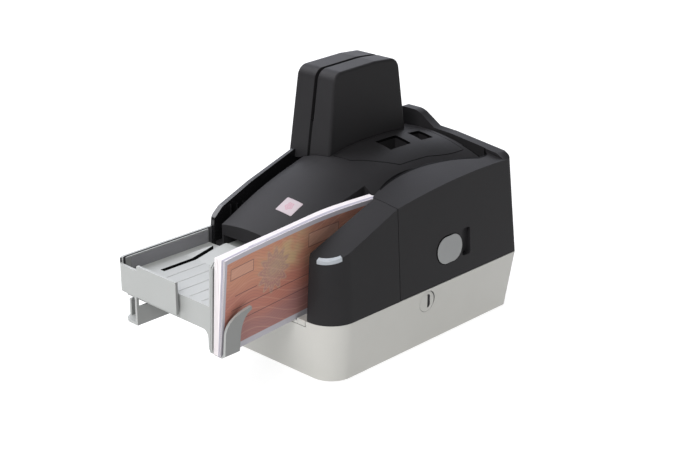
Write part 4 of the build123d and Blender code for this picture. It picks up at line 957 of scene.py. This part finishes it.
def is_rim(normal: Vector) -> bool:
    """Say whether a face of a cap, button or hole in the right side goes round its rim."""
    return abs(normal.x) < 0.5


def is_near(place: Vector, middle: tuple[float, float], reach: float) -> bool:
    """Say whether a place is near a middle on the machine's side, given by Y and Z."""
    return math.hypot(place.y - middle[0], place.z - middle[1]) < reach


# Places on the solids that the rules below look for, in millimetres.
LOCK_MIDDLE, LOCK_REACH = (37.65, 34.9), 10.5
BUTTON_MIDDLE, BUTTON_REACH = (61.65, 68.0), 17.0
TRACK_X, TRACK_Y = 12.0, 22.0
BLOCK_INNER_X, BLOCK_FRONT_Y = 38.4, -57.0
COVER_STEP_X, COVER_STEP_Z = -26.0, 138.0
COVER_END_X, COVER_END_Z = -36.5, 114.5
TRAY_FRONT_Y, TRAY_FOOT_Z = -132.0, 56.6
TRAY_CURVE_END = (26.6, -134.2, 56.5)

# Right-looking faces of the tray, stopper and extension take a darker grey: painted shade on the
# side away from the light.
RIGHT_FACE_PAINTED_SHADE = FaceTint("guard_grey", lambda c, n: looks_right(n))
TOWER_FOOT = (
    PointMove(lambda p: p.y < 33 and p.z < 130, (0.0, -3.4, -0.7)),
    PointMove(lambda p: p.y < 30.5 and 135 < p.z < 145, (0.0, -2.4, 0.0)),
    PointMove(lambda p: p.y < 31 and 145 < p.z < 155, (0.0, -1.8, 0.0)),
)


def is_block_corner(a: Vector, b: Vector) -> bool:
    """Say whether an edge is the hopper block's upright edge at the inner front."""
    inner = max(a.x, b.x) < BLOCK_INNER_X and max(a.y, b.y) < BLOCK_FRONT_Y
    return inner and abs(a.z - b.z) > 20


def is_cover_step(a: Vector, b: Vector) -> bool:
    """Say whether an edge crosses the top of the transport cover's rear-left end."""
    across = abs(a.x - COVER_STEP_X) < 0.3 and abs(b.x - COVER_STEP_X) < 0.3
    return across and min(a.z, b.z) > COVER_STEP_Z


MOULDINGS = (
    Moulding(
        "lower_housing", slot="pale_plastic",
        tints=(
            # The walls round the lock's hole take painted shade.
            FaceTint(
                "shade_grey",
                lambda c, n: is_rim(n) and c.x > 56 and is_near(c, LOCK_MIDDLE, LOCK_REACH),
            ),
        ),
    ),
    Moulding("track_deck", edge=0.0),
    Moulding(
        "centre_housing",
        tints=(
            # The channel's walls next to the cover take near-black painted shade.
            FaceTint(
                "channel_black",
                lambda c, n: stands_up(n) and c.y > TRACK_Y and c.x > TRACK_X and n.x + n.y > 0.3,
            ),
        ),
    ),
    # The panel's sides and underside take near-black painted shade, for the shadowed gap round it.
    Moulding("top_panel", edge=0.3, tints=(FaceTint("channel_black", lambda c, n: n.z < 0.3),)),
    Moulding("left_guide_wall", finish="gloss_dark_plastic"),
    Moulding("hopper_block", edge=0.6, soft=(SoftEdge(is_block_corner, 3.2),)),
    Moulding(
        "transport_cover", Body.COVER, edge=0.6,
        tints=(
            # The cover's walls along the channel take near-black painted shade.
            FaceTint(
                "channel_black",
                lambda c, n: stands_up(n) and c.x < 60 and 20 < c.y < 130 and n.x < -0.3,
            ),
            # The walls round the button's hole take near-black painted shade.
            FaceTint(
                "channel_black",
                lambda c, n: is_rim(n) and c.x > 50 and is_near(c, BUTTON_MIDDLE, BUTTON_REACH),
            ),
        ),
        soft=(SoftEdge(is_cover_step, 4.0),),
        shifts=(PointMove(lambda p: p.x < COVER_END_X and p.z > COVER_END_Z, (-4.4, 0.0, 0.0)),),
    ),
    Moulding("reader_left_half", edge=0.6, shifts=TOWER_FOOT),
    Moulding("reader_right_half", edge=0.6, shifts=TOWER_FOOT),
    Moulding(
        "lock_cap", slot="pale_plastic", edge=0.25,
        # The lock cap's rim takes painted shade.
        tints=(FaceTint("shade_grey", lambda c, n: is_rim(n)),),
    ),
    Moulding("status_lens", slot="lens_clear", edge=0.3),
    Moulding("badge_plate", slot="badge_white", edge=0.2, finish="badge_print"),
    Moulding(
        "release_button", Body.BUTTON, "button_grey",
        # The button's rim takes near-black painted shade.
        tints=(FaceTint("channel_black", lambda c, n: is_rim(n)),),
    ),
    Moulding(
        "eject_tray", slot="tray_plastic", edge=0.35,
        tints=(
            RIGHT_FACE_PAINTED_SHADE,
            # The walls of the tray's floor slot take near-black painted shade.
            FaceTint(
                "channel_black", lambda c, n: looks_right(n) and -44.5 < c.x < -42 and c.z > 72
            ),
        ),
        shifts=(
            PointMove(
                lambda p: p.y < TRAY_FRONT_Y and 47.45 < p.z < TRAY_FOOT_Z and 17.5 < p.x < 26.58,
                (0.0, 0.0, 0.0), TRAY_CURVE_END, (0.56, 1.0, 0.56),
            ),
            PointMove(lambda p: p.y < TRAY_FRONT_Y and 50.5 < p.z < TRAY_FOOT_Z, (0.0, 0.0, 2.4)),
        ),
    ),
    Moulding(
        "eject_stopper", Body.STOPPER, "tray_plastic", 0.35,
        tints=(
            RIGHT_FACE_PAINTED_SHADE,
            # Right-looking faces at the stopper's left end take a darker painted shade.
            FaceTint("shade_grey", lambda c, n: looks_right(n) and c.x < -56),
        ),
    ),
    Moulding(
        "feed_extension", Body.EXTENSION, "tray_plastic", 0.35, tints=(RIGHT_FACE_PAINTED_SHADE,)
    ),
)


@dataclass
class ChequeStack:
    """Cheques that stand bowed in the hopper, in packets that don't quite line up.

    Args:
        sections: From the free end, each section's place along the machine, back at the
            foot, lean and fanning, in millimetres.
        thickness: The stack's thickness at the foot in millimetres.
        low_z: The lower edge in millimetres.
        height: A cheque's height in millimetres.
        packets: Shares of the thickness where one packet ends and the next starts.
        gap: Share of the thickness left free on each side of a packet.
        most_drop: How far the lowest packet stays below the tallest, in millimetres.
        most_short: How far the shortest packet's free end stays back, in millimetres.
        shaded_eighths: From which eighth of the faces on the paper takes painted shade.
        fronts: For each loose front sheet its start, end, drop and shortness.
    """

    sections: tuple[Section, ...] = (
        (-134.25, 29.80, 4.0, 3.2),
        (-112.25, 27.72, 3.6, 1.6),
        (-59.85, 22.77, 3.2, 0.8),
        (-29.85, 20.20, 1.4, 2.4),
        (-7.85, 20.40, 1.6, 2.4),
        (18.15, 22.20, 1.8, 2.4),
    )
    thickness: float = 6.2
    low_z: float = 42.6
    height: float = 68.5
    packets: tuple[float, ...] = (0.0, 0.13, 0.27, 0.40, 0.55, 0.68, 0.80, 0.90)
    gap: float = 0.004
    most_drop: float = 0.22
    most_short: float = 0.7
    shaded_eighths: int = 5
    fronts: tuple[Section, ...] = (
        (0.905, 0.935, 0.1, 0.0),
        (0.94, 0.965, 0.0, 0.35),
        (0.97, 1.0, 0.05, 0.6),
    )

    def build(self, finishes: Finishes) -> None:
        """Build the packets and the printed front sheets.

        Args:
            finishes: Every material by name.
        """
        parts = []
        for number, (inner, outer) in enumerate(zip(self.packets, self.packets[1:])):
            drop = self.most_drop * (number * 37 % 5) / 4
            short = self.most_short * (number * 23 % 7) / 6
            parts.append(self._packet(inner + self.gap, outer - self.gap, drop, short))
        pages = join_parts("cheque_packets", parts)
        dress(pages, finishes["cheque_paper"])
        # The faces from the fifth eighth on take the paper in painted shade.
        pages.data.materials.append(finishes["cheque_paper_grey"])
        limit = len(pages.data.polygons) * self.shaded_eighths // 8
        for face in pages.data.polygons:
            face.material_index = int(face.index >= limit)
        sheets = join_parts("cheque_fronts", [self._packet(*front) for front in self.fronts])
        dress(sheets, finishes["cheque_paper"])
        sheets.data.materials.append(finishes["cheque_print"])
        with edit(sheets):
            pick(sheets, Element.FACE, lambda face: face.normal.x > 0.6)
            sheets.active_material_index = 1
            bpy.ops.object.material_slot_assign()
        shade(pages)
        shade(sheets)
        seat(pages, Body.STACK, "cheque_paper")
        seat(sheets, Body.STACK, "cheque_paper", "cheque_stack")

    def _packet(self, inner: float, outer: float, drop: float, short: float) -> Piece:
        """Extrude one packet from section to section and smooth its bow.

        Args:
            inner: Share of the thickness where it starts.
            outer: Share of the thickness where it ends.
            drop: How far its top stays below the tallest, in millimetres.
            short: How far its free end stays back, in millimetres.

        Returns:
            The finished packet.
        """
        packet = add_plane("cheque_packet", 1.0, 90.0)
        settle(packet)
        tall = self.height - drop
        first = self.sections[0]
        start_y = first[0] + short
        with edit(packet):
            bpy.ops.transform.resize(value=(0.001, 1.0, tall * MM))
            bpy.ops.transform.translate(value=millimetres(0.0, start_y, self.low_z + tall / 2))
            self._set_corners(packet, first, start_y, inner, outer)
            for section in self.sections[1:]:
                set_mode("OBJECT")
                front = max(point.co.y for point in packet.data.vertices)
                set_mode("EDIT")
                pick(packet, Element.FACE, lambda face: face.center.y > front - 0.0001)
                step = (0.0, section[0] * MM - front, 0.0)
                bpy.ops.mesh.extrude_region_move(TRANSFORM_OT_translate={"value": step})
                self._set_corners(packet, section, section[0], inner, outer)
            face_outwards()
            bpy.ops.mesh.select_mode(type="EDGE")
            bpy.ops.transform.edge_crease(value=1.0)
            bpy.ops.mesh.select_all(action="DESELECT")
            self._soften_bow(packet)
        smooth = packet.modifiers.new("bow", "SUBSURF")
        smooth.levels = 3
        smooth.render_levels = 3
        apply_modifiers(packet)
        return packet

    def _set_corners(
        self, packet: Piece, section: Section, y: float, inner: float, outer: float
    ) -> None:
        """Move the four points of one section to their places.

        Args:
            packet: The packet in edit mode.
            section: The section's place and shape.
            y: Where its points are now, in millimetres.
            inner: Share of the thickness where the packet starts.
            outer: Share of the thickness where it ends.
        """
        _, back, lean, spread = section
        middle_z = (self.low_z + self.height / 2) * MM
        set_mode("OBJECT")
        places = (point.co.copy() for point in packet.data.vertices)
        points = [place for place in places if abs(place.y - y * MM) < 0.0002]
        set_mode("EDIT")
        for upper in (False, True):
            wide = self.thickness + (spread if upper else 0.0)
            row = sorted((p for p in points if (p.z > middle_z) == upper), key=lambda p: p.x)
            foot = back + (lean if upper else 0.0)
            targets = [(foot + share * wide) * MM for share in (inner, outer)]
            spans = [target - current.x for target, current in zip(targets, row)]
            for index in (1, 0) if spans[0] > 0 else (0, 1):
                spot = row[index]
                pick(packet, Element.VERT, lambda point: (point.co - spot).length < 0.00002)
                bpy.ops.transform.translate(value=(spans[index], 0.0, 0.0))

    @staticmethod
    def _soften_bow(packet: Piece) -> None:
        """Take the crease off the upright and cross edges between the two ends.

        Args:
            packet: The packet.
        """
        set_mode("OBJECT")
        places = [point.co.y for point in packet.data.vertices]
        near, far = min(places) + 0.0015, max(places) - 0.0015

        def crosses(edge: bpy.types.MeshEdge) -> bool:
            """Say whether an edge goes across the packet between its ends."""
            start, end = (packet.data.vertices[index].co.y for index in edge.vertices)
            return abs(start - end) < 0.0001 and near < start < far

        pick(packet, Element.EDGE, crosses)
        bpy.ops.transform.edge_crease(value=-1.0)


@dataclass(frozen=True)
class TrimBar:
    """A straight strip of trim with softened edges.

    Args:
        name: The strip's name.
        corner: Its lowest corner in millimetres.
        size: Its width, length and height in millimetres.
        edge: Width of the rounding in millimetres.
        finish: Its finish.
        slot: Its material slot, if it isn't named as the finish.
    """

    name: str
    corner: Point
    size: Point
    edge: float
    finish: str
    slot: str = ""

    def build(self, finishes: Finishes) -> None:
        """Model the strip and soften its edges.

        Args:
            finishes: Every material by name.
        """
        deselect_all()
        middle = millimetres(*(low + span / 2 for low, span in zip(self.corner, self.size)))
        bpy.ops.mesh.primitive_cube_add(size=1.0, location=middle, scale=millimetres(*self.size))
        bar = bpy.context.object
        bar.name = self.name
        settle(bar)
        round_edges(bar, self.edge * MM, 2)
        dress(bar, finishes[self.finish])
        seat(bar, Body.SCANNER, self.slot or self.finish)


TRAY_FLOOR_Z = 75.0
SILL_Y, SILL_Z, SILL_LENGTH = -59.75, 40.02, 17.7
RIB_Y, RIB_WIDTH, RIB_HEIGHT, RIB_SUNK = -131.0, 0.9, 0.32, 0.1
RIBS = ((-30.0, 56.0), (-18.5, 60.0), (-7.0, 60.0), (4.5, 60.0), (16.0, 60.0))
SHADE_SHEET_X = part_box("eject_tray")[0].x / MM + 1.0

TRIM_BARS = (
    # A thin dark sheet on the tray's left inner wall: painted shade where the wall faces away from
    # the light.
    TrimBar(
        "tray_liner_pad", (SHADE_SHEET_X, -129.5, TRAY_FLOOR_Z), (0.45, 68.6, 9.0), 0.15,
        "liner_pad", "dark_plastic",
    ),
    *(
        TrimBar(name, (x, SILL_Y, SILL_Z), (width, SILL_LENGTH, height), 0.3, "pale_plastic")
        for name, x, width, height in (
            ("hopper_sill", 18.8, 11.7, 2.33), ("hopper_rim", 30.55, 7.45, 4.15)
        )
    ),
    *(
        TrimBar(
            f"tray_rib_{number}", (x - RIB_WIDTH / 2, RIB_Y, TRAY_FLOOR_Z - RIB_SUNK),
            (RIB_WIDTH, length, RIB_HEIGHT), 0.12, "tray_plastic",
        )
        for number, (x, length) in enumerate(RIBS, start=1)
    ),
)


@dataclass
class ReaderSeam:
    """The black strip of painted shade in the reader's seam, from its foot up to the slot, where
    the seam's shadow falls.
    """

    foot: Point = (-42.1, 24.22, 121.9)
    head: Point = (-42.1, 28.02, 148.7)
    width: float = 2.2
    depth: float = 1.3
    proud: float = 0.08

    def build(self, finishes: Finishes) -> None:
        """Extrude the strip up the front's lean.

        Args:
            finishes: Every material by name.
        """
        strip = add_plane("reader_seam_strip", 1.0)
        x, y, z = self.foot
        rise = tuple((end - start) * MM for start, end in zip(self.foot, self.head))
        with edit(strip):
            bpy.ops.transform.resize(value=(self.width * MM, self.depth * MM, 1.0))
            bpy.ops.transform.translate(value=millimetres(x, y + self.depth / 2 - self.proud, z))
            bpy.ops.mesh.extrude_region_move(TRANSFORM_OT_translate={"value": rise})
            face_outwards()
        # near-black painted shade for the seam's shadow
        dress(strip, finishes["channel_black"])
        seat(strip, Body.SCANNER, "dark_plastic")


@dataclass
class RimLine:
    """A thin black lip of painted shade that follows a rim where one moulding's top meets its
    walls, where the seam's shadow falls.

    Args:
        name: The piece's name.
        node: The solid whose rim it follows.
        lies_on: The solid that it lies on.
        body: The body it moves with.
        walls: A rule for the walls below the rim, by centre in millimetres and normal.
        reach: How far the lip reaches sideways, in millimetres.
        rise: How far it stands above the surface, in millimetres.
    """

    name: str
    node: str
    lies_on: str
    body: Body
    walls: FaceRule
    reach: tuple[float, float]
    rise: float = 0.12

    def build(self, finishes: Finishes) -> None:
        """Take the rim off a copy of the solid, spread it and thicken it.

        Args:
            finishes: Every material by name.
        """
        lip = copy_solid(self.node, self.name)
        self._pick_rim(lip)
        bpy.ops.mesh.select_all(action="INVERT")
        bpy.ops.mesh.delete(type="EDGE")
        bpy.ops.mesh.select_all(action="SELECT")
        spread = millimetres(*self.reach, 0.0)
        bpy.ops.mesh.extrude_edges_move(TRANSFORM_OT_translate={"value": spread})
        set_mode("OBJECT")
        wrap = lip.modifiers.new("lie_on_housing", "SHRINKWRAP")
        wrap.target = frame["nodes"][self.lies_on]
        wrap.wrap_method = "NEAREST_SURFACEPOINT"
        wrap.wrap_mode = "ON_SURFACE"
        apply_modifiers(lip)
        with edit(lip):
            bpy.ops.mesh.normals_make_consistent(inside=False)
            bpy.ops.transform.translate(value=millimetres(0.0, 0.0, self.rise / 2))
        thick = lip.modifiers.new("thickness", "SOLIDIFY")
        thick.thickness = self.rise * MM
        thick.offset = 0.0
        apply_modifiers(lip)
        # near-black painted shade for the seam's shadow
        dress(lip, finishes["channel_black"])
        seat(lip, self.body, "dark_plastic")

    def _pick_rim(self, lip: Piece) -> None:
        """Select the edges where a top face meets a wall that the rule wants.

        Args:
            lip: The copy of the solid.
        """
        walls, tops = set(), set()
        for face in lip.data.polygons:
            if stands_up(face.normal) and self.walls(face.center / MM, face.normal):
                walls.update(face.edge_keys)
            if face.normal.z > 0.6:
                tops.update(face.edge_keys)
        pick(lip, Element.EDGE, lambda edge: edge.key in walls and edge.key in tops)


# Black lines of painted shade along the seams round the channel, the cover and the top panel.
RIM_LINES = (
    RimLine(
        "channel_lip", "centre_housing", "centre_housing", Body.SCANNER,
        lambda c, n: n.x + n.y > 0.3 and c.x > TRACK_X and c.y > TRACK_Y, (-1.3, -0.6),
    ),
    RimLine(
        "cover_lip", "transport_cover", "transport_cover", Body.COVER,
        lambda c, n: n.x < -0.25 and c.x > 10 and 20 < c.y < 125, (1.5, -0.9),
    ),
    RimLine(
        "panel_line", "top_panel", "centre_housing", Body.SCANNER,
        lambda c, n: (n.x > 0.2 or n.y < -0.2) and not (-14 < c.x < 5 and 60 < c.y < 114),
        (0.5, -0.5),
    ),
)


def dress_solids(finishes: Finishes) -> None:
    """Give each solid of the frame the finish of its material slot."""
    slots = {part["node"]: part["material_slot"] for part in frame["record"]["subparts"]}
    for name, solid in frame["nodes"].items():
        dress(solid, finishes[slots[name]])


@dataclass(frozen=True)
class SoftLight:
    """A square panel of soft light.

    Args:
        name: The light's name.
        place: Where it hangs.
        size: The side of its panel in metres.
        power: Its power in watts.
        colour: Its colour.
        aim: The point it faces.
    """

    name: str
    place: Point
    size: float
    power: float
    colour: Colour = WHITE
    aim: Point = (0.0, -0.02, 0.08)

    def hang(self) -> None:
        """Hang the light and turn it to its aim."""
        data = bpy.data.lights.new(self.name, "AREA")
        data.shape = "SQUARE"
        data.size = self.size
        data.energy = self.power
        data.color = self.colour
        lamp = bpy.data.objects.new(self.name, data)
        lamp.location = self.place
        turn = (Vector(self.aim) - Vector(self.place)).to_track_quat("-Z", "Y")
        lamp.rotation_euler = turn.to_euler()
        bpy.context.scene.collection.objects.link(lamp)


LIGHTS = (
    SoftLight("key_light", (0.55, -1.45, 1.3), 1.0, 25.5),
    SoftLight("top_panel_light", (0.15, -0.1, 1.9), 1.7, 3.0),
    SoftLight("left_panel", (-1.15, -0.35, 1.4), 1.3, 29.0, (0.95, 0.95, 1.0)),
    SoftLight("back_panel", (-1.35, 1.1, 1.15), 2.2, 25.0, (0.88, 0.90, 1.0), (0.0, 0.0, 0.12)),
)


@dataclass
class Studio:
    """The floor, the lights and the camera."""

    camera_place: Point = (0.6737, -0.68545, 0.4593)
    camera_tilt: float = 68.8
    camera_turn: float = 44.04
    camera_lens: float = 77.76
    sensor_width: float = 36.0
    sky_strength: float = 0.15
    floor_glow: float = 0.78

    def build(self, effects: Effects) -> None:
        """Set up the floor, the soft light and the camera.

        Args:
            effects: The node groups that the floor's finish uses.
        """
        self._floor(effects)
        for light in LIGHTS:
            light.hang()
        scene = bpy.context.scene
        scene.world = scene.world or bpy.data.worlds.new("studio_world")
        scene.world.use_nodes = True
        sky = scene.world.node_tree.nodes["Background"]
        sky.inputs["Color"].default_value = (*WHITE, 1.0)
        sky.inputs["Strength"].default_value = self.sky_strength
        scene.view_settings.view_transform = "Standard"
        data = bpy.data.cameras.new("studio_camera")
        data.lens = self.camera_lens
        data.sensor_width = self.sensor_width
        camera = bpy.data.objects.new("studio_camera", data)
        camera.location = self.camera_place
        tilt, turn = math.radians(self.camera_tilt), math.radians(self.camera_turn)
        camera.rotation_euler = (tilt, 0.0, turn)
        scene.collection.objects.link(camera)
        scene.camera = camera

    def _floor(self, effects: Effects) -> None:
        """Lay the pale floor.

        Args:
            effects: The node groups that its finish uses.
        """
        floor = add_plane("studio_floor", 12.0)
        finish = MouldedFinish(
            "floor_paper", (0.34, 0.34, 0.34), 0.02, (0.9, 0.95), Texture.SOFT
        )
        paper = finish.build(effects)
        shader = paper.node_tree.nodes["Principled BSDF"]
        shader.inputs["Emission Color"].default_value = (*WHITE, 1.0)
        shader.inputs["Emission Strength"].default_value = self.floor_glow
        dress(floor, paper)


def main() -> None:
    """Build the whole scene in order."""
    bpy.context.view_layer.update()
    effects = Effects()
    finishes = {finish.name: finish.build(effects) for finish in FINISHES}
    finishes["cheque_print"] = PrintedCheque().build()
    finishes["badge_print"] = BadgePrint().build()
    dress_solids(finishes)
    Studio().build(effects)
    for piece in (*MOULDINGS, ChequeStack(), *TRIM_BARS, ReaderSeam(), *RIM_LINES):
        piece.build(finishes)


if __name__ == "__main__":
    main()
